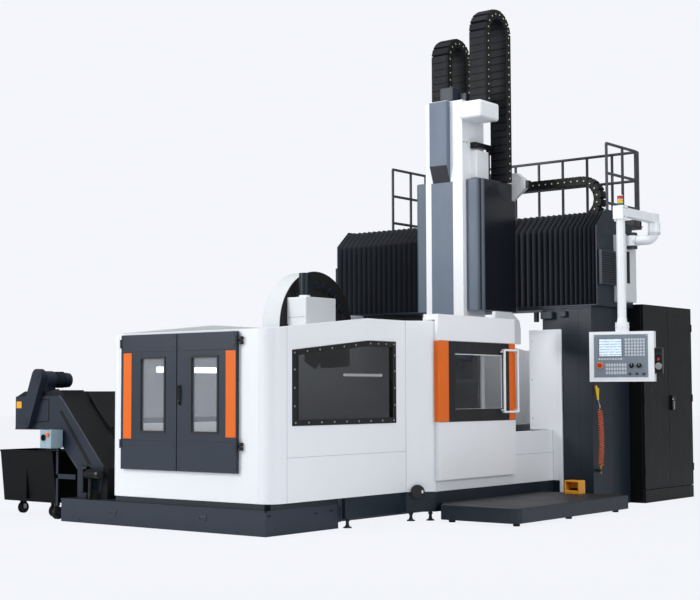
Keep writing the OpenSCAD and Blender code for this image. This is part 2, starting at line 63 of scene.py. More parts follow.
class Value:
    """A number that varies over a surface. Python's signs on it make Math nodes."""

    def __init__(self, finish, socket):
        self.finish, self.socket = finish, socket

    def sign(self, operation, a, b):
        return self.finish.node("Math", {"operation": operation}, a, b)

    def __add__(self, other):
        return self.sign("ADD", self, other)

    def __sub__(self, other):
        return self.sign("SUBTRACT", self, other)

    def __mul__(self, other):
        return self.sign("MULTIPLY", self, other)

    def __rsub__(self, other):
        return self.sign("SUBTRACT", other, self)

    __radd__, __rmul__ = __add__, __mul__


class Finish:
    """A material, with the record's slot it belongs to and its shader's plain numbers."""

    def __init__(self, name, slot, colour="#ffffff", **numbers):
        self.material = bpy.data.materials.new(name)
        self.material.use_nodes = True
        self.slot = slot
        self.nodes = self.material.node_tree.nodes
        self.links = self.material.node_tree.links
        self.shader = self.nodes["Principled BSDF"]
        self.colour = tint(colour)
        self.shader.inputs["Base Color"].default_value = self.colour
        for key, number in numbers.items():
            self.shader.inputs[key.replace("_", " ").title()].default_value = number
        self.place = self.node("TexCoord", {}, out="Object")

    def node(self, kind, settings, *values, out=0, **named):
        made = self.nodes.new("ShaderNode" + kind)
        for key, setting in settings.items():
            setattr(made, key, setting)
        for key, value in list(enumerate(values)) + list(named.items()):
            plug = made.inputs[key]
            if isinstance(value, Value):
                self.links.new(value.socket, plug)
            else:
                plug.default_value = value
        return Value(self, made.outputs[out])

    def blend(self, share, a, b):
        kind = {"data_type": "RGBA"}
        made = self.node("Mix", kind, out=2)
        mix = made.socket.node
        for plug, value in ((0, share), (6, a), (7, b)):
            if isinstance(value, Value):
                self.links.new(value.socket, mix.inputs[plug])
            else:
                mix.inputs[plug].default_value = value
        return made

    def noise(self, scale, detail=2.0, stretch=(1, 1, 1)):
        at = self.node("Mapping", {}, Vector=self.place, Scale=stretch)
        return self.node("TexNoise", {}, Vector=at, Scale=scale, Detail=detail)

    def feed(self, plug, value):
        self.links.new(value.socket, self.shader.inputs[plug])

    def bump(self, height, distance, strength=1.0):
        self.feed("Normal", self.node("Bump", {}, Height=height, Distance=distance,
                                      Strength=strength))


def tint(code, alpha=1.0):
    """A colour as written on a paint card, in the renderer's own scale."""
    parts = [int(code[i:i + 2], 16) / 255 for i in (1, 3, 5)]
    return tuple(p / 12.92 if p <= 0.04045 else ((p + 0.055) / 1.055) ** 2.4 for p in parts) + (alpha,)


def shade(colour, by):
    return tuple(min(1.0, c * by) for c in colour[:3]) + (1.0,)


# The floor is a painted slab. To the camera it is as pale as the backdrop, and it keeps the
# machine's soft shadow.
floor = bmesh.new()
bmesh.ops.create_grid(floor, x_segments=1, y_segments=1, size=60)
floor_mesh = bpy.data.meshes.new("studio_floor")
floor.to_mesh(floor_mesh)
studio_floor = bpy.data.objects.new("studio_floor", floor_mesh)
scene.collection.objects.link(studio_floor)
studio_floor.location.z = -0.0005
slab = Finish("studio_floor", "white_panel", "#eef1f6", roughness=0.75)
soft = slab.noise(0.4)
slab.feed("Base Color", slab.blend(soft * 0.2, slab.colour, shade(slab.colour, 0.96)))
glow = slab.node("Emission", {}, Color=tint("#f4f6fb"), Strength=1.0)
path = slab.node("LightPath", {}, out="Is Camera Ray")
mixed = slab.node("MixShader", {}, path * 0.94, Value(slab, slab.shader.outputs[0]), glow)
slab.links.new(mixed.socket, slab.nodes["Material Output"].inputs[0])
floor_mesh.materials.append(slab.material)

world = bpy.data.worlds.new("studio")
world.use_nodes = True
scene.world = world
tree = world.node_tree
lit, seen = tree.nodes["Background"], tree.nodes.new("ShaderNodeBackground")
lit.inputs[0].default_value, lit.inputs[1].default_value = (0.94, 0.965, 1.0, 1), 0.42
seen.inputs[0].default_value, seen.inputs[1].default_value = tint("#f4f6fb"), 1.0
rays, choose = tree.nodes.new("ShaderNodeLightPath"), tree.nodes.new("ShaderNodeMixShader")
tree.links.new(rays.outputs["Is Camera Ray"], choose.inputs[0])
tree.links.new(lit.outputs[0], choose.inputs[1])
tree.links.new(seen.outputs[0], choose.inputs[2])
tree.links.new(choose.outputs[0], tree.nodes["World Output"].inputs[0])
for name, at, aim, size, power in (
        ("overhead", (1.5, -3.0, 11.0), (0.5, -0.5, 1.0), 9.0, 560),
        ("operator_side", (13.0, -3.5, 5.5), (1.0, -0.5, 1.5), 7.0, 400),
        ("front_left", (-6.5, -13.0, 6.0), (-0.5, -2.5, 1.6), 6.0, 880)):
    lamp = bpy.data.lights.new(name, "AREA")
    lamp.shape, lamp.size, lamp.energy = "DISK", size, power
    holder = bpy.data.objects.new(name, lamp)
    scene.collection.objects.link(holder)
    holder.location = at
    holder.rotation_euler = (Vector(aim) - Vector(at)).to_track_quat("-Z", "Y").to_euler()


# The white enclosure: sheet-metal panels, folded at their edges and powder-coated a cool white.
# They are bolted to a frame, with narrow dark joints between them.
def coat(name, slot, code, rough=0.36, peel=0.00012, drift=0.05, gloss=0.12, shine=0.5):
    """Powder coat: a fine orange peel, a slow drift of tone and a dull film of handling."""
    made = Finish(name, slot, code, coat_weight=gloss, coat_roughness=0.25)
    made.shader.inputs["Specular IOR Level"].default_value = shine
    cloud = made.noise(1.1, 4.0)
    film = made.noise(9.0, 6.0, (1, 1, 0.35))
    made.feed("Base Color", made.blend(cloud * 0.7 + film * 0.3, shade(made.colour, 1 + drift / 2),
                                       shade(made.colour, 1 - drift)))
    made.feed("Roughness", film * 0.16 + (rough - 0.08))
    made.bump(made.noise(420.0, 2.0), peel)
    return made


white = coat("white_enamel", "white_panel", "#eceff3", drift=0.03)
slate = coat("slate_enamel", "slate_panel", "#2b333f", gloss=0.03, shine=0.3)
charcoal = coat("charcoal_enamel", "charcoal_panel", "#1e2731", gloss=0.03, shine=0.3)
pale_grey = coat("pale_grey_enamel", "grey_cover", "#cdd0d2")
orange = coat("orange_enamel", "orange_panel", "#e66a14", drift=0.06, gloss=0.05, shine=0.3)
seam = Finish("joint_shadow", "black_plastic", "#17181b", roughness=0.8)
seam.bump(seam.noise(300.0), 0.0001)

home = {n: body for body, nodes in frame["record"]["behaviour"]["bodies"].items() for n in nodes}


class Piece:
    """One piece in the making, in millimetres. Blocks, bars and plates are added to its mesh."""

    def __init__(self):
        self.bm = bmesh.new()
        self.turn = Matrix.Identity(4)

    def block(self, x, y, z):
        size = Matrix.Diagonal((x[1] - x[0], y[1] - y[0], z[1] - z[0], 1))
        at = Matrix.Translation(((x[0] + x[1]) / 2, (y[0] + y[1]) / 2, (z[0] + z[1]) / 2))
        bmesh.ops.create_cube(self.bm, size=1, matrix=self.turn @ at @ size)
        return self

    def bar(self, a, b, r, r2=None, sides=24):
        a, b = Vector(a), Vector(b)
        turned = (b - a).to_track_quat("Z", "Y").to_matrix().to_4x4()
        bmesh.ops.create_cone(self.bm, cap_ends=True, segments=sides, radius1=r,
                              radius2=r if r2 is None else r2, depth=(b - a).length,
                              matrix=self.turn @ Matrix.Translation((a + b) / 2) @ turned)
        return self

    def plate(self, outline, axis, low, high, rim=0):
        """An outline, pushed along an axis. With a rim it is a ring of that width."""
        order = {"x": (lambda p: (low, *p)), "y": (lambda p: (p[0], low, p[1])),
                 "z": (lambda p: (*p, low))}[axis]
        face = self.bm.faces.new([self.bm.verts.new(self.turn @ Vector(order(p))) for p in outline])
        face.normal_update()
        faces = [face]
        if rim:
            faces = bmesh.ops.inset_region(self.bm, faces=[face], thickness=rim,
                                           use_even_offset=True, use_boundary=True)["faces"]
            bmesh.ops.delete(self.bm, geom=[face], context="FACES_ONLY")
        step = Vector({"x": (high - low, 0, 0), "y": (0, high - low, 0), "z": (0, 0, high - low)}[axis])
        grown = bmesh.ops.extrude_face_region(self.bm, geom=faces, use_keep_orig=True)["geom"]
        bmesh.ops.translate(self.bm, vec=self.turn.to_3x3() @ step,
                            verts=[v for v in grown if isinstance(v, bmesh.types.BMVert)])
        return self

    def disc(self, a, axis, r, deep, sides=20):
        step = {"x": (deep, 0, 0), "y": (0, deep, 0), "z": (0, 0, deep)}[axis]
        return self.bar(a, Vector(a) + Vector(step), r, sides=sides)

    def finish(self, name, body, coats, soft=2.0, stands_for=(), segments=2, smooth=40):
        coats = coats if isinstance(coats, (list, tuple)) else [coats]
        bmesh.ops.recalc_face_normals(self.bm, faces=self.bm.faces)
        bmesh.ops.scale(self.bm, vec=(0.001,) * 3, verts=self.bm.verts)
        return settle(self.bm, name, body, coats, soft, stands_for, segments, smooth)


def settle(bm, name, body, coats, soft, stands_for, segments=2, smooth=40):
    """The mesh becomes a piece of the machine: rounded edges, its finish, and its body."""
    mesh = bpy.data.meshes.new(name)
    bm.to_mesh(mesh)
    bm.free()
    piece = bpy.data.objects.new(name, mesh)
    scene.collection.objects.link(piece)
    for coating in coats:
        mesh.materials.append(coating.material)
    mesh.shade_smooth()
    mesh.set_sharp_from_angle(angle=math.radians(smooth))
    if soft:
        edge = piece.modifiers.new("edges", "BEVEL")
        edge.width, edge.segments, edge.limit_method = soft / 1000, segments, "ANGLE"
        edge.angle_limit = math.radians(35)
        level = piece.modifiers.new("level", "WEIGHTED_NORMAL")
        level.keep_sharp, level.weight = True, 100
    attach(piece, body)
    if stands_for:
        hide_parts(*([stands_for] if isinstance(stands_for, str) else stands_for))
    return piece


def dress(node, coating, soft=3.0, segments=2, smooth=40, pane=None):
    """A rigid node as it is, with its loose triangles joined, its edges softened and its finish.
    A pane's two faces, given by a box and the axis that they face, make way for real glass."""
    bm = bmesh.new()
    bm.from_mesh(frame["nodes"][node].data)
    bmesh.ops.remove_doubles(bm, verts=bm.verts, dist=0.00002)
    bmesh.ops.dissolve_limit(bm, angle_limit=math.radians(0.6), verts=bm.verts, edges=bm.edges)
    if pane:
        low, high, axis = pane
        spans = [(low[i] / 1000, high[i] / 1000) for i in range(3)]
        sheet = [f for f in bm.faces if abs(f.normal["xyz".index(axis)]) > 0.99
                 and all(a <= v.co[i] <= b for v in f.verts for i, (a, b) in enumerate(spans))]
        bmesh.ops.delete(bm, geom=sheet, context="FACES_ONLY")
    return settle(bm, node + "_skin", home[node], [coating], soft, node, segments, smooth)


for node in ("end_wall", "right_front_wall", "right_bay_wall", "door_sill", "left_wall",
             "rear_enclosure", "post_panel"):
    dress(node, white, 4.0)
# The lintel is white sheet in shade; its pale grey coat is painted shade.
dress("door_lintel", pale_grey, 3.0)

joints = Piece()
joints.block((1081.6, 1082.6), (-3883, -2020), (705, 708))
joints.block((1081.6, 1082.6), (-3885, -3882), (292, 1919))
joints.block((1081.6, 1082.6), (-2023, -2020), (292, 2038))
joints.block((1299.6, 1300.6), (-1802, -1799), (292, 2038))
joints.block((1299.6, 1300.6), (-1802, 566), (610, 613))
joints.finish("panel_joints", "machine", coat("joint_grey", "white_panel", "#9298a1"), 0)
rim = Piece().plate([(1000, 870), (1384, 870), (1384, 2024), (1000, 2024)], "y", 567, 564, rim=24)
rim.finish("post_rim", "machine", white, 1)

service = Piece()
for x in (-700, 0, 700):
    service.block((x - 2, x + 2), (3899.4, 3900.6), (300, 1890))
service.block((-1080, 1080), (3899.4, 3900.6), (298, 302)).block((-1080, 1080), (3899.4, 3900.6), (1640, 1643))
for x in (-1082, 1082):
    for y in (2330, 3080):
        service.block((x - 0.6, x + 0.6), (y - 2, y + 2), (300, 1890))
    service.block((x - 0.6, x + 0.6), (1780, 3898), (298, 302)).block((x - 0.6, x + 0.6), (1780, 3898), (704, 708))
service.finish("service_joints", "machine", seam, 0)
kick = Piece()
kick.block((-1085, 1085), (3899, 3903), (0, 292)).block((1081, 1085), (1780, 3900), (0, 292)).block((-1085, -1081), (1780, 3900), (0, 292))
kick.finish("service_kick_band", "machine", charcoal, 1)
handles = Piece()
for x in (-60, 60):
    handles.bar((x, 3935, 1020), (x, 3935, 1220), 10).bar((x, 3900, 1035), (x, 3935, 1035), 8).bar((x, 3900, 1205), (x, 3935, 1205), 8)
for x in (-690, 690):
    for z in (480, 1480):
        handles.bar((x, 3908, z), (x, 3908, z + 90), 13)
handles.finish("service_handles", "machine", slate, 3)
louvres = Piece()
for i in range(9):
    louvres.plate([(3899, 420 + i * 24), (3912, 424 + i * 24), (3899, 438 + i * 24)], "x", -560, -160)
    louvres.plate([(3899, 420 + i * 24), (3912, 424 + i * 24), (3899, 438 + i * 24)], "x", 160, 560)
louvres.finish("service_louvres", "machine", white, 1)

# Machine screws with low round heads hold the panels and window frames.
zinc = Finish("zinc_plate", "ground_steel", "#b9bcc0", metallic=0.9)
zinc.feed("Roughness", zinc.noise(60.0) * 0.25 + 0.25)
zinc.bump(zinc.noise(500.0), 0.00005)
black_screw = Finish("black_oxide", "black_plastic", "#1b1c1e", metallic=0.4)
black_screw.feed("Roughness", black_screw.noise(60.0) * 0.2 + 0.35)


def screws(name, body, points, axis, r=7, coating=None):
    heads = Piece()
    for at in points:
        heads.disc(at, axis, r, 3.5 if axis != "y" else -3.5, 12)
    return heads.finish(name, body, coating or black_screw, 0)


screws("post_screws", "machine", [(1036, 567, z) for z in (1000, 1450, 1900)], "y", 9, zinc)

# Side windows: tinted safety panes behind black powder-coated frames, each held by a row of
# screws. A slim lamp bar hangs behind them.
gloss_black = coat("black_enamel", "black_plastic", "#0d0e11", rough=0.32, gloss=0.05, shine=0.35)
glass = Finish("tinted_pane", "window_glass", "#070a0e", roughness=0.04, alpha=0.62)
glass.shader.inputs["Specular IOR Level"].default_value = 0.25

glass.feed("Roughness", glass.noise(3.0) * 0.05 + 0.03)
rubber = Finish("black_rubber", "cable_rubber", "#141517", roughness=0.6)
rubber.bump(rubber.noise(260.0), 0.00015)

window = [(-3810, 998), (-2190, 998), (-2190, 1819), (-2650, 1819), (-3810, 1702)]


def inner(outline, by):
    cy = sum(p[0] for p in outline) / len(outline)
    cz = sum(p[1] for p in outline) / len(outline)
    return [(y + (by if y < cy else -by), z + (by if z < cz else -by)) for y, z in outline]


rear_ring = Piece()
for x in (-560, 140):
    rear_ring.plate([(x, 980), (x + 420, 980), (x + 420, 1580), (x, 1580)], "y", 3898, 3908, rim=44)
rear_ring.finish("rear_window_frames", "machine", gloss_black, 3)
Piece().block((-520, -180), (3899, 3902), (1020, 1540)).block((180, 520), (3899, 3902), (1020, 1540)).finish("rear_panes", "machine", glass, 0)
for side, sign in (("right", 1), ("left", -1)):
    frame_ring = Piece()
    frame_ring.plate(window, "x", sign * 1036, sign * 1088, rim=56)
    frame_ring.finish("window_frame_" + side, "machine", gloss_black, 3,
                      "side_windows" if sign > 0 else ())
    Piece().plate(inner(window, 50), "x", sign * 1052, sign * 1062).finish(
        "window_pane_" + side, "machine", glass, 0)
    spots = [(y, 1026) for y in range(-3770, -2200, 192)] + [(y, 1791) for y in range(-2620, -2200, 130)]
    spots += [(-3782 + i * 185, 1677 + i * 18.5) for i in range(6)]
    spots += [(-3782, z) for z in (1180, 1350, 1520)] + [(-2218, z) for z in (1180, 1350, 1520, 1680)]
    screws("window_screws_" + side, "machine", [(sign * 1088, y, z) for y, z in spots], "x", 9, zinc)
bay_pane = Piece()
bay_pane.plate([(-1512, 1120), (-928, 1120), (-928, 1720), (-1512, 1720)], "x", 1270, 1280)
bay_pane.finish("bay_pane", "machine", glass, 0)

lamp_white = Finish("lamp_diffuser", "white_panel", "#f4f6f8", roughness=0.4)
lamp_white.feed("Base Color", lamp_white.blend(lamp_white.noise(5.0) * 0.2, lamp_white.colour,
                                               shade(lamp_white.colour, 0.93)))
lamp_white.feed("Emission Color", lamp_white.blend(lamp_white.noise(5.0) * 0.2, tint("#f6f9ff"), tint("#e6ecf8")))
lamp_white.shader.inputs["Emission Strength"].default_value = 2.0
lamps = Piece()
for y in (-3500, -2300):
    lamps.block((-1030, -985), (y, y + 900), (1520, 1580))
    lamps.block((985, 1030), (y + 200, y + 800), (930, 965))
lamps.block((930, 960), (-2860, -2250), (1466, 1492))
lamps.finish("enclosure_lamps", "machine", lamp_white, 6)
inner_parts = Piece()
inner_parts.block((960, 1020), (-3790, -3640), (1000, 1700))
inner_parts.plate([(-3430, 1810), (-2740, 1810), (-2740, 1560), (-3180, 1540), (-3200, 1600), (-3270, 1530), (-3430, 1610)], "x", 900, 920)
inner_parts.bar((935, -2250, 1479), (935, -2215, 1479), 22)
inner_parts.finish("enclosure_inner_parts", "machine", pale_grey, 4)

# The bed's ways are kept clean by steel covers that telescope in steps behind and before the
# table. The table and the bed are ground and painted cast iron.
steel = Finish("brushed_cover_steel", "ground_steel", "#a6aaae", metallic=0.85)
brushed = steel.noise(40.0, 4.0, (1, 14, 14))
steel.feed("Base Color", steel.blend(brushed, shade(steel.colour, 1.05), shade(steel.colour, 0.86)))
steel.feed("Roughness", brushed * 0.2 + 0.24)
steel.bump(brushed, 0.0001)
iron = Finish("painted_cast_iron", "cast_iron", "#5b6064")
cast = iron.noise(90.0, 6.0)
iron.feed("Base Color", iron.blend(iron.noise(2.0, 4.0), shade(iron.colour, 1.06), shade(iron.colour, 0.88)))
iron.feed("Roughness", cast * 0.2 + 0.5)
iron.bump(cast, 0.0008)
dress("machine_bed", iron, 6)
dress("work_table", steel, 2)
for end, start, stop in (("front", -1352, -3790), ("rear", 1352, 3590)):
    covers = Piece()
    step = (stop - start) / 5
    for i in range(5):
        a, b = start + i * step, start + (i + 1) * step
        covers.block((-600 + i * 6, 600 - i * 6), (min(a, b), max(a, b)), (642, 745 - i * 14))
        covers.block((-602 + i * 6, 602 - i * 6), (b - 14, b), (642, 750 - i * 14))
    covers.finish("way_covers_" + end, "machine", steel, 3)

# The chip tray is a folded and welded steel pan. It has half-round lifting pockets in its
# front, small drain holes, and slots in its side.
dress("chip_tray", slate, 4)
# The pocket shadow finish is painted shade: near-black marks for the dark insides of holes, slots and vents, which are
# not cut.
dark = Finish("pocket_shadow", "charcoal_panel", "#0d0e10", roughness=0.9)
dark.bump(dark.noise(200.0), 0.0002)
pockets = Piece()
for x, z in ((-1487, 28), (673, 29)):
    pockets.disc((x, -4112, z), "y", 6, -6, 16)
for y, z in ((-4068, 189), (-3398, 166), (-3172, 175)):
    pockets.block((1024, 1025.6), (y - 24, y + 24), (z - 9, z + 9))
pockets.finish("tray_pockets", "machine", dark, 0)
rims = Piece()
for x, z in ((236, 146), (-996, 134)):
    for a in range(180, 360, 15):
        p, q = math.radians(a), math.radians(a + 15)
        rims.bar((x + 48 * math.cos(p), -4114, z + 48 * math.sin(p)),
                 (x + 48 * math.cos(q), -4114, z + 48 * math.sin(q)), 4, sides=8)
    rims.bar((x - 48, -4114, z), (x + 48, -4114, z), 4, sides=8).block((x - 56, x + 56), (-4115, -4112), (z + 1, z + 26))
rims.finish("pocket_rims", "machine", slate, 0, segments=1)
lip = Piece()
lip.block((-1777, 1027), (-4115, -4099), (222, 235)).block((1012, 1027), (-4115, -3060), (222, 235))
lip.block((-1600, -1597), (-4114, -4112), (0, 222)).block((1024, 1026), (-3700, -3697), (0, 222))
lip.finish("tray_lip", "machine", slate, 2)

# The dark plinth carries the panels on levelling feet: threaded studs on round steel pads.
dress("plinth", charcoal, 3)
feet = Piece()
for x, y in ((1057, -2960), (1112, -1985), (1240, -1822), (1275, -868), (1275, 507), (-1057, -2960),
             (-1057, -2020), (-1057, 507)):
    feet.bar((x, y, 0), (x, y, 12), 44, 38).bar((x, y, 12), (x, y, 30), 24, 20).bar((x, y, 66), (x, y, 84), 24, 24, sides=6)
feet.finish("levelling_feet", "machine", charcoal, 2)
hub = Piece()
hub.bar((1168, -1948, 297), (1194, -1974, 297), 70, 70, 40)
hub.finish("drain_hub", "machine", rubber, 3)
tab = Piece()
tab.turn = Matrix.Translation((1194 + 37, -1974 + 37, 297)) @ Matrix.Rotation(math.radians(-45), 4, "Z")
tab.block((-12, 12), (-16, 2), (-14, 14))
tab.finish("drain_tab", "machine", white, 3)

# Two slate leaves close the front end. Each has a tinted pane in a rubber gasket, an orange
# edge strip, and a dark kick band. They hang on black lift-off hinges and share a black lever.
pale_glass = Finish("clear_pane", "window_glass", "#c9d0dc", roughness=0.04, alpha=0.16)
pale_glass.feed("Roughness", pale_glass.noise(3.0) * 0.05 + 0.02)
for side, sign, edge, x0, x1, w0, w1, strip, z0 in (
        ("left", 1, -863, -863, -94, -582, -255, (-824, -709), 862),
        ("right", -1, 683, -83, 683, 108, 446, (555, 680), 894)):
    node, body = "end_door_" + side, "end_leaf_" + side
    dress(node, slate, 4, pane=((w0 - 3, -4150, 930), (w1 + 3, -4090, 1652), "y"))
    trim = Piece()
    trim.block(strip, (-4146, -4138), (z0, 1700))
    trim.finish("orange_strip_" + side, body, orange, 3)
    gasket = Piece()
    gasket.plate([(w0 - 14, 924), (w1 + 14, 924), (w1 + 14, 1659), (w0 - 14, 1659)], "y", -4140, -4147, rim=20)
    gasket.finish("leaf_gasket_" + side, body, rubber, 2)
    Piece().block((w0 - 2, w1 + 2), (-4123.5, -4117.5), (936, 1647)).finish("leaf_pane_" + side, body, pale_glass, 0)
    lines = Piece()
    lines.block((x0 + 4, x1 - 4), (-4141.4, -4140), (1708, 1711))
    lines.block((x0 + 4, x1 - 4), (-4141.4, -4140), (846, 849))
    lines.finish("leaf_joints_" + side, body, seam, 0)
    screws("leaf_screws_" + side, body, [(x, -4140.5, z) for x in (x0 + 25, x1 - 25) for z in (600, 800, 1740, 1850)], "y", 7)
    hinge = Piece()
    for z in (774, 1755):
        wide = (edge - 20, edge - 6) if sign > 0 else (edge + 6, edge + 58)
        hinge.block(wide, (-4136, -4101), (z, z + 32)).block(wide, (-4136, -4101), (z + 42, z + 74))
    hinge.finish("hinge_blocks_" + side, "machine", gloss_black, 4)
    pins = Piece()
    for z in (774, 1755):
        pins.bar((edge, -4140.5, z - 6), (edge, -4140.5, z + 80), 13, sides=16)
    pins.finish("hinge_pins_" + side, body, gloss_black, 2)
lever = Piece()
lever.block((-58, -34), (-4150, -4140), (1190, 1385)).block((-54, -38), (-4176, -4164), (1240, 1378))
lever.bar((-46, -4168, 1365), (-46, -4146, 1365), 7).bar((-46, -4166, 1212), (-46, -4146, 1212), 13)
lever.finish("end_door_lever", "end_leaf_right", gloss_black, 5)

# The operator's door is a folded white panel that hangs over the wall's top edge. A black
# glazing frame with a clear pane fills its middle, between two wide orange edges.
dress("operator_door", coat("door_enamel", "white_panel", "#f1f2f5", drift=0.03), 5, pane=((1280, -1530, 1126), (1400, -545, 1706), "x"))
door = "operator_door"
glazing = Piece()
glazing.plate([(-1643, 1002), (-460, 1002), (-460, 1835), (-1643, 1835)], "x", 1346, 1354, rim=128)
glazing.finish("glazing_frame", door, gloss_black, 3)
clear = Finish("door_pane", "window_glass", "#1a2026", roughness=0.03, alpha=0.2)
door_pane_x = 1326
clear.feed("Roughness", clear.noise(3.0) * 0.05 + 0.02)
Piece().block((door_pane_x, door_pane_x + 8), (-1514, -556), (1131, 1700)).finish("door_pane", door, clear, 0)
edges = Piece()
edges.plate([(1300, -1829), (1338, -1829), (1352, -1824), (1359, -1812), (1361, -1795), (1361, -1643), (1345, -1643),
             (1345, -1815), (1300, -1817)], "z", 1002, 1835)
edges.block((1345, 1360), (-460, -336), (1002, 1835))
edges.finish("door_orange_edges", door, orange, 4, segments=3, smooth=50)
door_lines = Piece()
door_lines.block((1347, 1348.8), (-1812, -330), (998, 1001.5)).block((1347, 1348.8), (-1812, -330), (1836, 1839))
door_lines.finish("door_joints", door, seam, 0)
screws("glazing_screws", door, [(1354, y, z) for y in range(-1610, -470, 140) for z in (1034, 1803)]
       + [(1354, y, z) for y in (-1612, -492) for z in (1160, 1290, 1420, 1550, 1680)], "x", 7)
grip = Piece()
for y in (-623, -347):
    grip.bar((1398, y, 1090), (1398, y, 1762), 12, sides=20)
for z in (1090, 1762):
    grip.bar((1398, -623, z), (1398, -347, z), 12, sides=20)
    for y in (-600, -370):
        grip.bar((1350, y, z), (1398, y, z), 11, sides=16)
grip.finish("door_handle", door, white, 0, segments=1)
inside = Piece()
inside.block((1165, 1305), (-1700, -440), (2053, 2062))
inside.finish("door_roller_cover", door, pale_grey, 2)

# The operator's platform is a low welded step with a tread-plate top and rounded corners.
tread = Finish("tread_plate", "charcoal_panel", "#25272b", metallic=0.2)
diagonal = tread.node("Mapping", {}, Vector=tread.place, Rotation=(0, 0, math.radians(45)), Scale=(30, 30, 0))
lozenge = tread.node("TexVoronoi", {"feature": "F1", "distance": "CHEBYCHEV"}, Vector=diagonal, Scale=1.0, Randomness=0.0)
studs = tread.node("ValToRGB", {}, lozenge)
studs.socket.node.color_ramp.elements[0].position, studs.socket.node.color_ramp.elements[1].position = 0.26, 0.36
studs.socket.node.color_ramp.elements[0].color, studs.socket.node.color_ramp.elements[1].color = (1,) * 4, (0, 0, 0, 1)
worn = tread.noise(2.0, 5.0)
tread.feed("Base Color", tread.blend(studs * 0.5 + worn * 0.3, shade(tread.colour, 0.9), shade(tread.colour, 1.5)))
tread.feed("Roughness", worn * 0.25 + 0.38)
tread.bump(studs, 0.0012)
frame_blue = coat("platform_enamel", "charcoal_panel", "#232932", gloss=0.03, shine=0.3)
dress("platform", frame_blue, 10, segments=3)
corner = Piece().bar((1497, -1960, 33), (1497, -1960, 175), 26, sides=32).bar((2290, -1958, 33), (2290, -1958, 175), 28, sides=32)
corner.finish("platform_corners", "machine", frame_blue, 2)
deck = Piece()
deck.plate([(1300, -1660), (1495, -1982), (2275, -1990), (2330, -1975), (2366, -1900), (2370, -1890), (2370, 315), (1300, 315)], "z", 174, 179)
deck.finish("platform_deck", "machine", tread, 1)

# A pressed yellow hood guards the foot pedal, and the treadle inside it is black.
yellow = coat("pedal_yellow", "pedal_yellow", "#f0a41c", drift=0.08)
dress("foot_pedal", yellow, 12, segments=4)
treadle = Piece()
treadle.plate([(120, 186), (235, 186), (235, 240), (120, 200)], "x", 1720, 1860)
treadle.finish("treadle", "machine", rubber, 4)

# The bridge's columns are clad in charcoal sheet, with narrow joints between the sheets. A
# small brass fitting on the right one feeds the air hose.
for node in ("column_left", "column_right", "crossbeam"):
    dress(node, charcoal, 5)
clad = Piece()
clad.block((1170, 1811), (584, 586), (1949, 1952)).block((1170, 1811), (584, 586), (1040, 1043))
clad.block((1640, 1643), (584, 586), (0, 2290)).block((1809, 1811), (585, 1490), (1949, 1952))
clad.block((1809, 1811), (585, 1490), (1040, 1043)).block((1809, 1811), (1086, 1089), (0, 2290))
clad.finish("column_joints", "machine", seam, 0)
covers = Piece()
for x in (-1500, -500, 500):
    covers.block((x, x + 900), (1489, 1495), (2400, 3140))
for x in (-1700, 1260):
    covers.block((x, x + 440), (1489, 1494), (400, 1100)).block((x, x + 440), (1489, 1494), (1240, 2000))
covers.finish("bridge_back_covers", "machine", charcoal, 3)
screws("bridge_back_screws", "machine", [(x + d, 1498.5, z) for x in (-1500, -500, 500) for d in (30, 450, 870) for z in (2430, 3110)]
       + [(x + d, 1497.5, z) for x in (-1700, 1260) for d in (30, 410) for z in (430, 1070, 1270, 1970)], "y", 8, zinc)
screws("column_screws", "machine", [(x, 585, z) for x in (1200, 1610, 1672, 1785) for z in (80, 1000, 1080, 1910, 1990, 2250)], "y", 6)
under = Piece()
under.block((830, 1790), (580, 600), (2262, 2290)).block((1085, 1130), (530, 585), (2120, 2236))
under.block((1180, 1330), (520, 584), (2150, 2236)).block((1420, 1500), (540, 584), (2168, 2236))
under.finish("beam_underside_rail", "machine", slate, 6)
brass = Finish("fitting_brass", "ground_steel", "#b08a3c", metallic=1.0)
brass.feed("Roughness", brass.noise(60.0) * 0.2 + 0.25)
fitting = Piece()
fitting.bar((1865, 655, 434), (1865, 655, 470), 16, sides=6).bar((1865, 655, 380), (1865, 655, 402), 11)
fitting.finish("hose_fitting", "machine", brass, 1)

# The electrical cabinet is a steel enclosure with two full-height leaves, a swing handle with
# a lock, a raised plinth and a cooling unit on its end.
black_cabinet = coat("cabinet_enamel", "charcoal_panel", "#0a0c0f", rough=0.4, gloss=0.03, shine=0.22)
for node in ("cabinet", "cabinet_door_left", "cabinet_door_right"):
    dress(node, black_cabinet, 5)
bands = Piece()
bands.block((1997.6, 1998.8), (1502, 2150), (2236, 2239)).block((1997.6, 1998.8), (1502, 2150), (186, 189))
bands.finish("cabinet_left_joints", "cabinet_leaf_left", seam, 0)
bands = Piece()
bands.block((1997.6, 1998.8), (2166, 2812), (2236, 2239)).block((1997.6, 1998.8), (2166, 2812), (186, 189))
bands.finish("cabinet_right_joints", "cabinet_leaf_right", seam, 0)
chrome = Finish("lock_chrome", "ground_steel", "#c8cacc", metallic=1.0)
chrome.feed("Roughness", chrome.noise(30.0) * 0.1 + 0.12)
lock = Piece()
lock.disc((2022, 2218, 1215), "x", 15, 6, 24).block((2020, 2040), (2207, 2229), (1090, 1190))
lock.finish("cabinet_lock", "cabinet_leaf_right", chrome, 4)
plate = Piece()
plate.block((1997, 2003), (2262, 2332), (1106, 1250))
plate.finish("lock_plate", "cabinet_leaf_right", slate, 3)
cooler = Piece()
cooler.block((1546, 1942), (2815, 2932), (612, 1864))
cooler.finish("cooling_unit", "machine", pale_grey, 8)
fins = Piece()
for i in range(14):
    fins.block((1600, 1888), (2931, 2936), (700 + i * 26, 711 + i * 26)).block((1600, 1888), (2931, 2936), (1420 + i * 26, 1431 + i * 26))
    fins.block((1941, 1944), (2840, 2910), (1420 + i * 26, 1431 + i * 26))
fins.finish("cooling_slots", "machine", dark, 0)

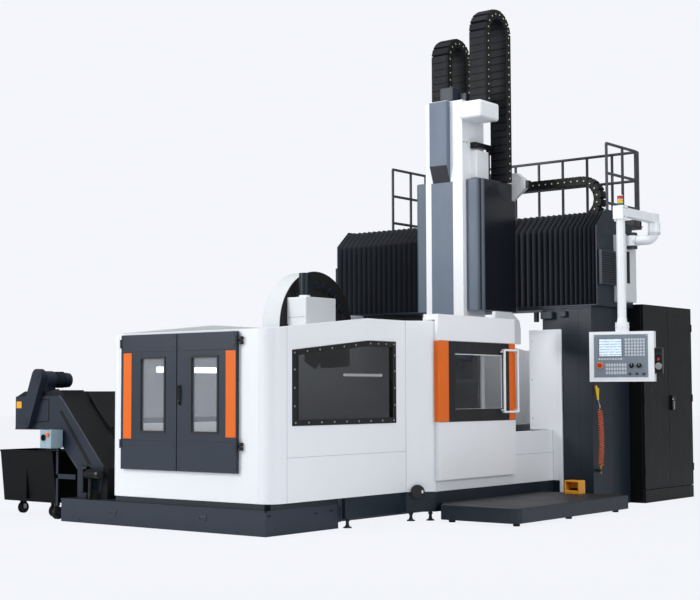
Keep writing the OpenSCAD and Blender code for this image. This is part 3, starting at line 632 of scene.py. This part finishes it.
# The bellows are folded cloth sewn over stiff plates, one plate to a fold, and run on a rail
# at their foot. They cover the crossbeam's ways at their full length.
cloth = Finish("bellows_cloth", "bellows_cloth", "#1f2228", roughness=0.62)
weave = cloth.node("TexWave", {"bands_direction": "Z"}, Vector=cloth.place, Scale=220.0, Distortion=0.4)
fade = cloth.noise(1.5, 4.0)
# Painted light on the folds: the base colour is near-black in the valleys and a lighter grey on the ridges, set by each
# point's depth along y, shifted back along the top's slant, with a little random tone from a slow noise.
up = cloth.node("SeparateXYZ", {}, cloth.place, out=2)
lean = cloth.node("MapRange", {}, up, 3.195, 3.405, 0.0, 0.231)
fold_light_and_shade = cloth.node("MapRange", {}, cloth.node("SeparateXYZ", {}, cloth.place, out=1) - lean, 0.645, 0.585, 0.0, 1.0)
cloth.feed("Base Color", cloth.blend(fold_light_and_shade * 0.8 + fade * 0.2, tint("#090a0d"), tint("#373e49")))
cloth.feed("Roughness", fade * 0.2 + 0.5)
cloth.bump(weave, 0.0002)
for side, x0, x1 in (("left", -1880, 352), ("right", 352, 1880)):
    folds = bmesh.new()
    outline = [(593, 2292), (593, 3191), (822, 3399), (900, 3399)]
    strip = [folds.verts.new((x0, y, z)) for y, z in outline]
    rows = [folds.edges.new(pair) for pair in zip(strip, strip[1:])]
    count = 56 if side == "left" else 42
    widths = [1.0 if side == "left" else 1.3 - 0.6 * i / count for i in range(count)]
    unit = (x1 - x0) / sum(widths)
    for i in range(count):
        made = bmesh.ops.extrude_edge_only(folds, edges=rows)["geom"]
        verts = [g for g in made if isinstance(g, bmesh.types.BMVert)]
        rows = [g for g in made if isinstance(g, bmesh.types.BMEdge) and all(v in verts for v in g.verts)]
        deep = 80 if i % 2 == 0 else -80
        bmesh.ops.translate(folds, verts=verts, vec=(widths[i] * unit, 0, 0))
        for v, (y, z) in zip(sorted(verts, key=lambda v: (round(v.co.z + v.co.y * 0.4, 3))), outline):
            v.co.y += deep * (0.4 if z > 3300 else 1.0)
            v.co.z -= deep * (0.0 if z < 2400 else 0.35 if z < 3300 else 0.7)
    bmesh.ops.recalc_face_normals(folds, faces=folds.faces)
    if sum(f.normal.y for f in folds.faces) > 0:
        bmesh.ops.reverse_faces(folds, faces=folds.faces)
    bmesh.ops.scale(folds, vec=(0.001,) * 3, verts=folds.verts)
    settle(folds, "bellows_folds_" + side, "machine", [cloth], 0, "bellows_" + side, smooth=20)
foot = Piece()
foot.block((-1880, 1880), (572, 600), (2286, 2304)).block((-1880, 1880), (600, 896), (2290, 2300))
foot.finish("bellows_rail", "machine", slate, 3)

# The crossbeam's end plates carry a louvred motor cover and a light grey junction box, and
# on the operator's side the bracket of the pendant's arm.
dress("beam_ends", charcoal, 5)
box_cover, slots = Piece(), Piece()
for sign in (-1, 1):
    x = [sign * v for v in (1886, 2054)]
    box_cover.block((min(x), max(x)), (988, 1243), (2342, 3128))
    for z in range(2560, 2900, 27):
        x = [sign * v for v in (1939, 1942)]
        slots.block((min(x), max(x)), (640, 930), (z, z + 12))
    x = [sign * v for v in (2053, 2055.5)]
    slots.block((min(x), max(x)), (1000, 1072), (2553, 2922))
box_cover.finish("junction_boxes", "machine", pale_grey, 10, segments=3)
slots.finish("louvre_slots", "machine", dark, 0)

# A walkway of tread plate lies on the beam. Its guard rails are welded tube, painted dark.
rail_paint = coat("rail_enamel", "rail_grey", "#33363d", rough=0.4)
dress("walkway", tread, 2)
for node in ("rails_left", "rails_right", "rails_rear"):
    dress(node, rail_paint, 0)
toes = Piece()
for x in (-1250, 1842):
    for y in (945, 1312, 1680):
        toes.block((x - 45, x + 45), (y - 45, y + 45), (3284, 3294))
for i in range(10):
    x = -1250 + i * 3092 / 9
    toes.block((x - 45, x + 45), (1700, 1769), (3284, 3294))
toes.block((-1288, 1868), (1764, 1770), (3285, 3385))
toes.finish("rail_feet", "machine", rail_paint, 2)

# The saddle is a folded blue-grey housing round the ram, with soft front corners. Two pressed
# ribs run down its front right corner, beside a shadow joint.
blue = coat("saddle_enamel", "housing_blue", "#566475", rough=0.38, gloss=0.04, shine=0.3)
strip_blue = coat("ram_strip_enamel", "housing_blue", "#5f6e80", rough=0.38, gloss=0.04, shine=0.3)
# The saddle's sides and the ram's throat take a near-black copy of the housing's blue: painted shade on faces turned
# from the light.
painted_shade_blue = coat("blue_painted_shade", "housing_blue", "#1b1e25", rough=0.22)
dress("saddle", blue, 6, segments=3)
# Thin sheets on both sides of the saddle carry that painted shade.
side_sheet = Piece()
side_sheet.block((818, 823), (-96, 574), (2248, 3761)).block((-119, -114), (-96, 574), (2248, 3761))
side_sheet.finish("saddle_sides", "saddle_unit", painted_shade_blue, 3)
ribs = Piece()
ribs.bar((770, -158, 2246), (770, -158, 3764), 14, sides=20).bar((812, -124, 2246), (812, -124, 3764), 12, sides=20)
ribs.finish("saddle_ribs", "saddle_unit", coat("rib_enamel", "housing_blue", "#4f5c6b", rough=0.35, gloss=0.03), 0)
gap = Piece()
gap.turn = Matrix.Translation((793, -139, 0)) @ Matrix.Rotation(math.radians(45), 4, "Z")
gap.block((-7, 7), (-4, 4), (2246, 3764))
gap.finish("saddle_joint", "saddle_unit", seam, 0)
bracket = Piece()
bracket.block((560, 822), (420, 578), (3760, 3900)).block((700, 840), (560, 578), (3640, 3900))
bracket.plate([(820, 3560), (1010, 3700), (1010, 3800), (900, 3890), (820, 3890)], "y", 500, 570)
bracket.finish("chain_bracket", "saddle_unit", pale_grey, 6)
capped = Piece()
capped.block((1008, 1052), (505, 565), (3705, 3790))
capped.finish("bracket_socket", "saddle_unit", gloss_black, 4)

# The ram is a white box column with a slate strip on its front. The strip stands proud near
# the top, over a slanted throat, and a valve box and a drag bar ride on its side.
dress("ram", white, 6)
strip = Piece()
strip.block((176, 474), (-236, -229), (2120, 3744))
strip.finish("ram_strip", "ram_unit", strip_blue, 3)
proud = Piece()
proud.plate([(-229, 3742), (-233, 3742), (-302, 3932), (-302, 4684), (-229, 4684)], "x", 202, 443)
proud.finish("ram_strip_proud", "ram_unit", strip_blue, 4)
# The throat faces down, and its near-black coat is painted shade.
throat = Piece()
throat.plate([(-236, 3740), (-305, 3930), (-301, 3936), (-232, 3745)], "x", 204, 441)
throat.finish("ram_throat", "ram_unit", painted_shade_blue, 2)
arm = Piece()
arm.block((612, 690), (-66, -20), (4140, 4210)).block((640, 700), (-60, 330), (4150, 4205))
arm.bar((672, 250, 3760), (672, 250, 4160), 9, sides=12).block((650, 694), (215, 262), (4090, 4160))
arm.finish("drag_bar", "ram_unit", gloss_black, 5)
screws("ram_bolts", "ram_unit", [(612, y, 4200) for y in (-195, -135)], "x", 8)
crown = Piece()
crown.block((302, 484), (-226, -60), (4688, 4858)).block((500, 600), (-120, -20), (4688, 4790))
crown.finish("ram_top_motor", "ram_unit", slate, 8)
dress("ram_top_box", white, 30, segments=4)

# The two-axis milling head is machined and ground steel: a round flange, a fork, and a
# tilting spindle with its locking nuts.
dress("spindle_head", steel, 6)
nuts = Piece()
for sign in (-1, 1):
    x = 352 + sign * 251
    nuts.bar((x, 0, 1790), (x + sign * 10, 0, 1790), 92, 88, 40)
    for a in range(0, 360, 45):
        p = math.radians(a)
        nuts.bar((x + sign * 8, 66 * math.cos(p), 1790 + 66 * math.sin(p)), (x + sign * 17, 66 * math.cos(p), 1790 + 66 * math.sin(p)), 9, sides=12)
nuts.finish("head_caps", "ram_unit", pale_grey, 2)
nose = Piece()
nose.bar((352, 0, 1590), (352, 0, 1602), 84, 90, 40).bar((352, 0, 1560), (352, 0, 1566), 42, 46, 32)
nose.finish("spindle_nose", "ram_unit", zinc, 1)

# The cable chains are moulded black links on pins with pale yellow caps. The tall loops feed
# the ram, and the long one lies on the walkway and feeds the saddle.
link_black = Finish("chain_nylon", "chain_plastic", "#101216", roughness=0.5)
link_black.shader.inputs["Specular IOR Level"].default_value = 0.25
moulded = link_black.noise(30.0, 3.0)
link_black.feed("Base Color", link_black.blend(moulded, shade(link_black.colour, 0.85), shade(link_black.colour, 1.3)))
link_black.feed("Roughness", moulded * 0.2 + 0.4)
link_black.bump(link_black.noise(400.0), 0.00008)
pin_yellow = Finish("pin_caps", "gun_yellow", "#d8d7a0", roughness=0.45)
pin_yellow.feed("Base Color", pin_yellow.blend(pin_yellow.noise(50.0), pin_yellow.colour, shade(pin_yellow.colour, 0.8)))
silver_blue = coat("chain_lid", "charcoal_panel", "#15181d", rough=0.5, gloss=0.0, shine=0.2)


def chain(name, body, route, across, wide, thick, stands_for=(), squashes=None):
    """Links along a route of points. Each is two side plates, two cross bars and two caps."""
    links, caps, lids = Piece(), Piece(), Piece()
    runs = [(Vector(a), Vector(b)) for a, b in zip(route, route[1:])]
    whole = sum((b - a).length for a, b in runs)
    pitch = whole / round(whole / 86)
    walk, spots = pitch / 2, []
    for a, b in runs:
        run = (b - a).length
        while walk < run:
            spots.append((a + (b - a) * (walk / run), (b - a).normalized()))
            walk += pitch
        walk -= run
    side = Vector(across)
    for at, along in spots:
        out = along.cross(side)
        turn = Matrix((side, out, along)).transposed().to_4x4()
        for piece in (links, caps, lids):
            piece.turn = Matrix.Translation(at) @ turn
        for s in (-1, 1):
            x = s * (wide / 2 - 8)
            links.block((x - 7, x + 7), (-thick / 2, thick / 2), (-pitch / 2, pitch / 2))
            links.disc((x + s * 7, 0, 0), "x", 20, s * 3, 12)
            caps.disc((x + s * 9, 0, 0), "x", 9, s * 3.5, 8)
            lids.block((-wide / 2 + 14, wide / 2 - 14), (s * thick / 2 - 6, s * thick / 2 + 1), (-38, 36))
        links.block((-wide / 2 + 12, wide / 2 - 12), (-thick / 2 + 4, thick / 2 - 4), (-44, 43))
    for piece, label, coating, soft in ((links, "_links", link_black, 2), (caps, "_caps", pin_yellow, 0), (lids, "_lids", silver_blue, 2)):
        piece.turn = Matrix.Identity(4)
        made = piece.finish(name + label, body, coating, soft, stands_for if label == "_links" else (), segments=1)
        if squashes:
            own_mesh(made)


def half_round(centre, r, start, stop, steps, plane):
    turns = [math.radians(start + (stop - start) * i / steps) for i in range(steps + 1)]
    return [(centre[0], centre[1] + r * math.cos(a), centre[2] + r * math.sin(a)) if plane == "yz" else
            (centre[0] + r * math.cos(a), centre[1], centre[2] + r * math.sin(a)) for a in turns]


for i, (x, top, rear, low) in enumerate(((232, 5250, 380, 4690), (767, 5500, 420, 4650))):
    front_y, rear_y = -75, rear - 55
    middle, r = (front_y + rear_y) / 2, (rear_y - front_y) / 2
    route = [(x, front_y, low), (x, front_y, top)]
    route += half_round((x, middle, top), r, 180, 0, 24, "yz")[1:] + [(x, rear_y, top - 61)]
    chain("ram_chain_%d" % (i + 1), "ram_unit", route, (1, 0, 0), 230, 104, "ram_chains" if i == 0 else ())
    chain("saddle_chain_%d" % (i + 1), "saddle_unit", [(x, rear_y, 3766), (x, rear_y, top - 61)], (1, 0, 0), 230, 104,
          "saddle_chain_legs" if i == 0 else (),
          (("ram_slide",), {"axis": (0, 0, 1), "anchor": (0, 0, 3.765), "keep": (top - 661 - 3765) / (top - 61 - 3765)}))
beam_route = [(300, 995, 3337), (1497, 995, 3337)] + half_round((1497, 995, 3562), 226, -90, 90, 24, "xz")[1:]
beam_route += [(-126, 995, 3789)] + half_round((-126, 995, 3562), 226, 90, 270, 24, "xz")[1:] + [(290, 995, 3337)]
chain("beam_chain", "machine", beam_route, (0, 1, 0), 130, 100, "beam_chain")

# The tool magazine is a drum in a pale sheet-metal cover, with a dark wheel of tool pockets.
# The changer's cover and its motor stand before it.
dress("tool_magazine", coat("magazine_enamel", "grey_cover", "#dfe3e6"), 8, smooth=30)
wheel = Piece()
wheel.bar((-1401, -440, 2097), (-1391, -440, 2097), 690, 686, 72)
wheel.finish("magazine_face", "machine", dark, 2)
pots, rim = Piece(), Piece()
for i in range(24):
    a = math.radians(i * 15)
    y, z = -440 + 520 * math.cos(a), 2097 + 520 * math.sin(a)
    pots.bar((-1392, y, z), (-1374, y, z), 50, 46, 20)
    y, z = -440 + 668 * math.cos(a), 2097 + 668 * math.sin(a)
    rim.bar((-1400, y, z), (-1392, y, z), 10, sides=12)
pots.bar((-1392, -440, 2097), (-1372, -440, 2097), 190, 180, 40)
pots.finish("magazine_pockets", "machine", charcoal, 2)
rim.finish("magazine_bolts", "machine", zinc, 1)
dress("tool_changer", white, 16, segments=4)
motor = Piece().bar((-1200, -906, 2462), (-1200, -906, 2726), 66, 66, 32)
for i in range(10):
    motor.bar((-1200, -906, 2470 + i * 20), (-1200, -906, 2479 + i * 20), 69, sides=32)
motor.bar((-1200, -906, 2694), (-1200, -906, 2728), 67, 60, 32)
motor.finish("changer_motor", "machine", charcoal, 1)
vents = Piece()
for i in range(6):
    vents.block((-1101, -1098), (-960, -780), (1910 + i * 26, 1920 + i * 26))
vents.block((-1380, -1120), (-1001.5, -999), (2200, 2203))
vents.finish("changer_vents", "machine", dark, 0)

# The pendant arm is white tube and cast knuckles. It turns at the beam's bracket, at its
# middle knuckle and above the pendant, and a stack light stands on its elbow.
dress("upper_arm", white, 14, segments=4)


def pipe(name, body, points, r, coating, stands_for=(), sides=28):
    """A tube that follows points, with one ring of vertices at each."""
    tube, rings = bmesh.new(), []
    points = [Vector(p) for p in points]
    for i, at in enumerate(points):
        along = (points[min(i + 1, len(points) - 1)] - points[max(i - 1, 0)]).normalized()
        side = along.cross(Vector((0, 1, 0))).normalized()
        up = along.cross(side)
        rings.append([tube.verts.new(at + r * (side * math.cos(2 * math.pi * k / sides) + up * math.sin(2 * math.pi * k / sides)))
                      for k in range(sides)])
    for a, b in zip(rings, rings[1:]):
        for k in range(sides):
            tube.faces.new((a[k], a[(k + 1) % sides], b[(k + 1) % sides], b[k]))
    for ring in (rings[0], rings[-1]):
        tube.faces.new(ring)
    bmesh.ops.recalc_face_normals(tube, faces=tube.faces)
    bmesh.ops.scale(tube, vec=(0.001,) * 3, verts=tube.verts)
    return settle(tube, name, body, [coating], 2, stands_for)


sweep = [(2300 + 80 * math.sin(math.radians(a)), 1050, 3125 - 80 * math.cos(math.radians(a))) for a in range(0, 91, 9)]
pipe("lower_arm_tube", "arm_lower", [(2100, 1050, 3045)] + sweep, 56, white, "lower_arm")
socket = Piece().bar((2100, 1050, 2986), (2100, 1050, 3104), 60, 60, 32)
socket.finish("lower_arm_socket", "arm_lower", white, 8, segments=3)
knuckles = Piece()
knuckles.bar((2380, 1050, 3236), (2380, 1050, 3250), 66, 60, 32)
knuckles.finish("knuckle_cap", "arm_upper", white, 3)
knuckles = Piece()
knuckles.bar((2380, 1050, 3098), (2380, 1050, 3125), 72, 72, 32).bar((2165, 1050, 3045), (2180, 1050, 3045), 62, 62, 28)
knuckles.finish("knuckle_ring", "arm_lower", pale_grey, 2)
elbow = Piece()
elbow.block((2318, 2442), (168, 292), (3196, 3346)).bar((2380, 230, 2010), (2380, 230, 2022), 80, 80, 32)
elbow.bar((2380, 230, 2028), (2380, 230, 2110), 60, 50, 32).block((2330, 2430), (930, 1090), (3230, 3336))
elbow.finish("arm_elbow", "arm_upper", white, 34, segments=6)
screws("elbow_screws", "arm_upper", [(2442, y, z) for y in (196, 264) for z in (3222, 3318)], "x", 6)
lenses = []
for name, code, z in (("red", "#b3150f", 3420), ("amber", "#eeb000", 3380), ("green", "#0e6e34", 3340)):
    lens = Finish("lens_" + name, "lamp_plastic", code, roughness=0.2, coat_weight=0.5)
    ripple = lens.node("TexWave", {"bands_direction": "Z"}, Vector=lens.place, Scale=90.0)
    lens.feed("Base Color", lens.blend(ripple * 0.25, lens.colour, shade(lens.colour, 0.75)))
    lens.bump(ripple, 0.0004)
    glow = Piece()
    glow.bar((2380, 230, z + 2), (2380, 230, z + 37), 32, 32, 32)
    glow.finish("stack_lens_" + name, "arm_upper", lens, 3, "stack_light" if name == "red" else ())
caps = Piece()
caps.bar((2380, 230, 3332), (2380, 230, 3342), 34, 34, 32).bar((2380, 230, 3457), (2380, 230, 3468), 34, 26, 32)
for z in (3377, 3417):
    caps.bar((2380, 230, z), (2380, 230, z + 4), 34, 34, 32)
caps.finish("stack_caps", "arm_upper", white, 2)

# The control pendant is a white sheet-metal case. Its grey front carries the screen, rows of
# keys, two override knobs and the emergency stop.
dress("pendant", white, 12, segments=4)
stand = Matrix.Translation((2380, 230, 0)) @ Matrix.Rotation(math.radians(18), 4, "Z")
pad = "control_pendant"


def on_pendant():
    piece = Piece()
    piece.turn = stand
    return piece


face = on_pendant().block((-300, 286), (-79, -74), (1462, 1928))
face.finish("pendant_face", pad, coat("key_panel", "grey_cover", "#78838f", rough=0.45), 5)
bezel = on_pendant().block((-246, 8), (-83, -78), (1687, 1886))
bezel.finish("screen_bezel", pad, slate, 5)
screen = Finish("screen_glow", "lamp_plastic", "#b9c6cf", roughness=0.15)
rows = screen.node("TexWave", {"bands_direction": "Z", "wave_profile": "SAW"}, Vector=screen.place, Scale=11.0)
words = screen.noise(46.0, 1.0, (1, 1, 2.4))
ink = screen.node("Math", {"operation": "GREATER_THAN"}, words * rows, 0.32)
screen.feed("Base Color", screen.blend(ink * 0.75, tint("#c3d2e0"), tint("#7f93a6")))
screen.shader.inputs["Emission Strength"].default_value = 0.55
screen.feed("Emission Color", screen.blend(ink * 0.75, tint("#c3d2e0"), tint("#7f93a6")))
on_pendant().block((-240, 3), (-85, -82), (1692, 1881)).finish("pendant_screen", pad, screen, 0)
key_white = coat("key_caps", "white_panel", "#c3cad3", rough=0.4)
keys = on_pendant()
for i in range(7):
    for j in range(6):
        keys.block((38 + i * 32, 62 + i * 32), (-84, -78), (1692 + j * 33, 1717 + j * 33))
for i in range(9):
    keys.block((-250 + i * 29.5, -228 + i * 29.5), (-84, -78), (1650, 1670))
for i in range(8):
    for j in range(3):
        keys.block((-172 + i * 29, -150 + i * 29), (-84, -78), (1494 + j * 42, 1526 + j * 42))
keys.finish("pendant_keys", pad, key_white, 3)
knobs, marks = on_pendant(), on_pendant()
for x, z, r in ((109, 1589, 27), (190, 1588, 27), (240, 1500, 14), (90, 1500, 14), (165, 1500, 14)):
    knobs.disc((x, -78, z), "y", r, -22, 28)
    marks.block((x - 2, x + 2), (-101.5, -99), (z, z + r - 3))
    for a in range(-135, 136, 30):
        p = math.radians(a)
        if r > 20:
            marks.disc((x + 36 * math.sin(p), -78, z + 36 * math.cos(p)), "y", 2.2, -2.2, 8)
knobs.finish("pendant_knobs", pad, gloss_black, 3)
marks.finish("pendant_marks", pad, key_white, 0)
stop_collar = on_pendant().disc((-235, -78, 1593), "y", 36, -6, 32)
stop_collar.finish("stop_collar", pad, yellow, 1)
stop_red = Finish("stop_red", "lamp_plastic", "#c8281e", roughness=0.3)
stop_red.feed("Base Color", stop_red.blend(stop_red.noise(40.0), stop_red.colour, shade(stop_red.colour, 0.85)))
on_pendant().disc((-235, -82, 1593), "y", 27, -24, 32).finish("emergency_stop", pad, stop_red, 6, segments=4)
back = on_pendant()
for i in range(9):
    back.block((-160, 160), (74, 77), (1560 + i * 24, 1569 + i * 24))
back.finish("pendant_vents", pad, dark, 0)
screws("pendant_screws", pad, [tuple(stand @ Vector((x, -79, z))) for x in (-288, 274) for z in (1476, 1914)], "y", 6, zinc)

# The handwheel box hangs on the pendant's side, on its own black cable.
dress("handwheel", gloss_black, 10, segments=3)
dial = on_pendant()
dial.disc((393, -45, 1580), "y", 36, -10, 40).disc((393, -55, 1580), "y", 30, -10, 40).disc((410, -65, 1596), "y", 7, -22, 16)
dial.finish("handwheel_dial", pad, chrome, 1)
selectors = on_pendant()
for x in (376, 412):
    selectors.disc((x, -45, 1715), "y", 15, -16, 20)
selectors.finish("handwheel_selectors", pad, rubber, 2)
stop = on_pendant().disc((393, -45, 1655), "y", 14, -12, 20)
stop.finish("handwheel_stop", pad, stop_red, 2)

cable_points = [(300, 1414.6), (301, 1330), (302, 1250), (305, 1160), (308, 1080), (310, 1000), (316, 930), (322, 875),
                (332, 825), (342, 798), (352, 790), (362, 798), (373, 828), (380, 875), (384, 930), (388, 1000),
                (390, 1100), (391, 1200), (392, 1320), (392, 1420), (392, 1500)]
route = [stand @ Vector((x, 0, z)) / 1000 for x, z in cable_points]
route = [Vector((p.x, p.y, z / 1000)) for p, (x, z) in zip([stand @ Vector((x, 0, 0)) / 1000 for x, z in cable_points], cable_points)]
curve = bpy.data.curves.new("handwheel_lead", "CURVE")
curve.dimensions, curve.bevel_depth, curve.bevel_resolution = "3D", 0.007, 4
line = curve.splines.new("POLY")
line.points.add(len(route) - 1)
for point, at in zip(line.points, route):
    point.co = (*at, 1)
lead = bpy.data.objects.new("handwheel_lead", curve)
scene.collection.objects.link(lead)
curve.materials.append(rubber.material)
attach(lead, pad)
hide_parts("handwheel_cable")
sum((b - a).length for a, b in zip(route, route[1:]))
relief = on_pendant()
relief.bar((300, 0, 1414), (301, 0, 1370), 14, 8).bar((392, 0, 1500), (392, 0, 1455), 14, 8)
relief.finish("lead_reliefs", pad, rubber, 1)

# A yellow blow gun hangs on a hook on the column, on a tightly coiled orange air hose.
gun = Piece().bar((1836, 636, 1350), (1856, 636, 1212), 17, 11, 24).bar((1836, 636, 1348), (1830, 636, 1378), 17, 9, 24)
gun.block((1848, 1868), (628, 644), (1322, 1346)).bar((1866, 636, 1340), (1860, 636, 1262), 5)
gun.bar((1811, 636, 1356), (1838, 636, 1356), 6)
gun.finish("blow_gun_body", "machine", coat("gun_yellow", "gun_yellow", "#e8c31c", rough=0.3), 4, "blow_gun", segments=3)
muzzle = Piece()
muzzle.bar((1855, 637, 1216), (1864, 652, 1150), 5, 5, 16).bar((1864, 653, 1160), (1865, 655, 1126), 9, 9, 6)
muzzle.finish("gun_link", "machine", zinc, 1)
coil_red = Finish("coil_polyurethane", "hose_orange", "#ff7326", roughness=0.3, coat_weight=0.2)
coil_red.feed("Base Color", coil_red.blend(coil_red.noise(12.0), coil_red.colour, shade(coil_red.colour, 0.85)))
coil_red.bump(coil_red.noise(200.0), 0.0001)
turns, per = 24, 18
coil_path = [(1.865, 0.655, 0.436)]
for i in range(turns * per + 1):
    a = 2 * math.pi * i / per
    ease = min(1.0, i / 14, (turns * per - i) / 14)
    coil_path.append((1.865 + 0.028 * ease * math.cos(a) + 0.016 * math.sin(math.pi * i / (turns * per)), 0.655 + 0.028 * ease * math.sin(a), 0.452 + 0.66 * i / (turns * per)))
coil_path.append((1.865, 0.655, 1.129))
curve = bpy.data.curves.new("air_coil", "CURVE")
curve.dimensions, curve.bevel_depth, curve.bevel_resolution = "3D", 0.0035, 2
line = curve.splines.new("POLY")
line.points.add(len(coil_path) - 1)
for point, at in zip(line.points, coil_path):
    point.co = (*at, 1)
coil = bpy.data.objects.new("air_coil", curve)
scene.collection.objects.link(coil)
curve.materials.append(coil_red.material)
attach(coil, "machine")
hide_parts("air_hose")

# The chip conveyor climbs out of the tray in a folded slate housing with bolted flanges. Its
# drive has a chain guard with rounded ends and a finned motor, on a head with a scraper lid.
conveyor_blue = coat("conveyor_enamel", "slate_panel", "#222a36", rough=0.45, gloss=0.02, shine=0.25)
dress("conveyor_drive", conveyor_blue, 4)
hood_black = coat("hood_enamel", "charcoal_panel", "#0d0e10", rough=0.5, gloss=0.02, shine=0.2)
for node in ("conveyor", "conveyor_hood"):
    dress(node, hood_black, 4)
flank = Piece()
flank.plate([(-2702, 930), (-2105, 935), (-1698, 526), (-1560, 300), (-1340, 300), (-1299, 560), (-1937, 1241), (-1990, 1285), (-2702, 1275)], "y", -3968, -3959)
flank.block((-1651, -1514), (-4006, -3961), (236, 561)).block((-2005, -1970), (-3991, -3960), (140, 840))
flank.block((-2005, -1700), (-3991, -3960), (420, 470))
flank.finish("conveyor_flank", "machine", conveyor_blue, 3)
# The slanted plate is painted shade: a thin near-black strip for the recess between the two flanges.
channel = Piece()
channel.plate([(-1986, 1124), (-1940, 1124), (-1480, 580), (-1540, 580)], "y", -3970, -3967)
channel.plate([(-2420, 990), (-2380, 1250), (-2150, 1250), (-2150, 1010)], "y", -3970, -3967, rim=14)
channel.finish("conveyor_channel", "machine", hood_black, 0)
sign = Piece().block((-2682, -2600), (-3971, -3967), (1150, 1222))
sign.finish("plain_yellow_label", "machine", yellow, 1)
flange = Piece()
edge_line = [(-2700, 930), (-2105, 935), (-1676, 514), (-1560, 300), (-1560, 240)]
top_line = [(-1299, 560), (-1937, 1241), (-1990, 1285)]
for points in (edge_line, top_line):
    for (xa, za), (xb, zb) in zip(points, points[1:]):
        flange.bar((xa, -3964, za), (xb, -3964, zb), 9, sides=8)
flange.finish("conveyor_flanges", "machine", conveyor_blue, 0, segments=1)
fan = Piece()
for i in range(12):
    fan.bar((-2281, -3826 + i * 13, 1450), (-2281, -3820 + i * 13, 1450), 84, sides=32)
fan.bar((-2281, -3640, 1450), (-2281, -3604, 1450), 82, 74, 32).block((-2330, -2232), (-3800, -3700), (1500, 1540))
fan.bar((-2281, -3962, 1450), (-2281, -3826, 1450), 96, 96, 40)
fan.finish("drive_motor_fins", "machine", conveyor_blue, 2)
guard_lines = Piece()
for x, z in ((-2281, 1488), (-2469, 1010)):
    guard_lines.disc((x, -4034, z), "y", 44, -5, 32)
    for a in range(0, 360, 90):
        p = math.radians(a + 20)
        guard_lines.disc((x + 62 * math.cos(p), -4034, z + 62 * math.sin(p)), "y", 6, -5, 12)
guard_lines.finish("guard_bosses", "machine", charcoal, 2)
lid = Piece()
lid.block((-2545, -2400), (-3940, -3630), (1328, 1342)).block((-2150, -1990), (-3940, -3630), (1328, 1342))
lid.bar((-2100, -3930, 1346), (-2040, -3930, 1346), 8).bar((-2100, -3930, 1340), (-2100, -3930, 1356), 6)
lid.finish("conveyor_lids", "machine", charcoal, 3)
hood_lines = Piece()
hood_lines.block((-1905, -1602), (-3181, -3179.4), (660, 663)).block((-1760, -1757), (-3181, -3179.4), (260, 1100))
hood_lines.finish("hood_joints", "machine", seam, 0)
pump = Piece()
pump.bar((-1480, -4040, 484), (-1300, -4040, 484), 46, sides=28).bar((-1300, -4040, 484), (-1270, -4040, 484), 52, 46, 28)
for i in range(7):
    pump.bar((-1450 + i * 20, -4040, 484), (-1442 + i * 20, -4040, 484), 51, sides=28)
pump.block((-1500, -1470), (-4090, -3990), (300, 540)).bar((-1420, -4040, 236), (-1420, -4040, 450), 22, sides=20)
pump.finish("coolant_pump", "machine", gloss_black, 3)
wheels = Piece()
wheels.bar((-2012, -3975, 65), (-1963, -3975, 65), 62, sides=32).bar((-2018, -3975, 65), (-1957, -3975, 65), 14, sides=16)
wheels.finish("conveyor_wheel", "machine", rubber, 6)

# The switch box is a light blue enclosure with a rotary isolator and an orange stop button.
dress("switch_box", coat("switch_box_blue", "box_blue", "#93a9b5"), 6, segments=3)
isolator = Piece()
isolator.disc((-2015, -4150, 850), "y", 34, -12, 28).block((-2022, -2008), (-4180, -4160), (822, 878))
isolator.finish("isolator_knob", "machine", gloss_black, 3)
button = Piece().disc((-1945, -4150, 880), "y", 20, -18, 24)
button.finish("switch_box_button", "machine", orange, 3)
glands = Piece()
for x in (-2040, -1990, -1940):
    glands.bar((x, -4070, 742), (x, -4070, 715), 16, 12, 16)
glands.finish("switch_box_glands", "machine", rubber, 1)

# The chip bin is a welded steel skip with a rolled rim, three castors and a tow handle.
bin_black = coat("bin_enamel", "charcoal_panel", "#090b0e", rough=0.6, gloss=0.0, shine=0.12)
dress("chip_bin", bin_black, 3)
bin_rim = Piece()
for y in (-3920, -3420):
    bin_rim.bar((-3010, y, 690), (-2150, y, 690), 10, sides=12)
for x in (-3007, -2153):
    bin_rim.bar((x, -3920, 690), (x, -3420, 690), 10, sides=12)
bin_rim.block((-2990, -2170), (-3868, -3860), (300, 312)).block((-2600, -2590), (-3900, -3860), (180, 680))
bin_rim.finish("bin_rim", "machine", bin_black, 0)
tyres, forks = Piece(), Piece()
for x, y in ((-2920, -3670), (-2250, -3800), (-2250, -3540)):
    tyres.bar((x - 22, y, 62), (x + 22, y, 62), 61, sides=36)
    forks.bar((x - 30, y, 62), (x + 30, y, 62), 12, sides=16)
    for s in (-1, 1):
        forks.block((x + s * 28 - 3, x + s * 28 + 3), (y - 20, y + 20), (50, 145))
tyres.finish("bin_tyres", "machine", rubber, 8, segments=3)
forks.finish("bin_forks", "machine", zinc, 1)
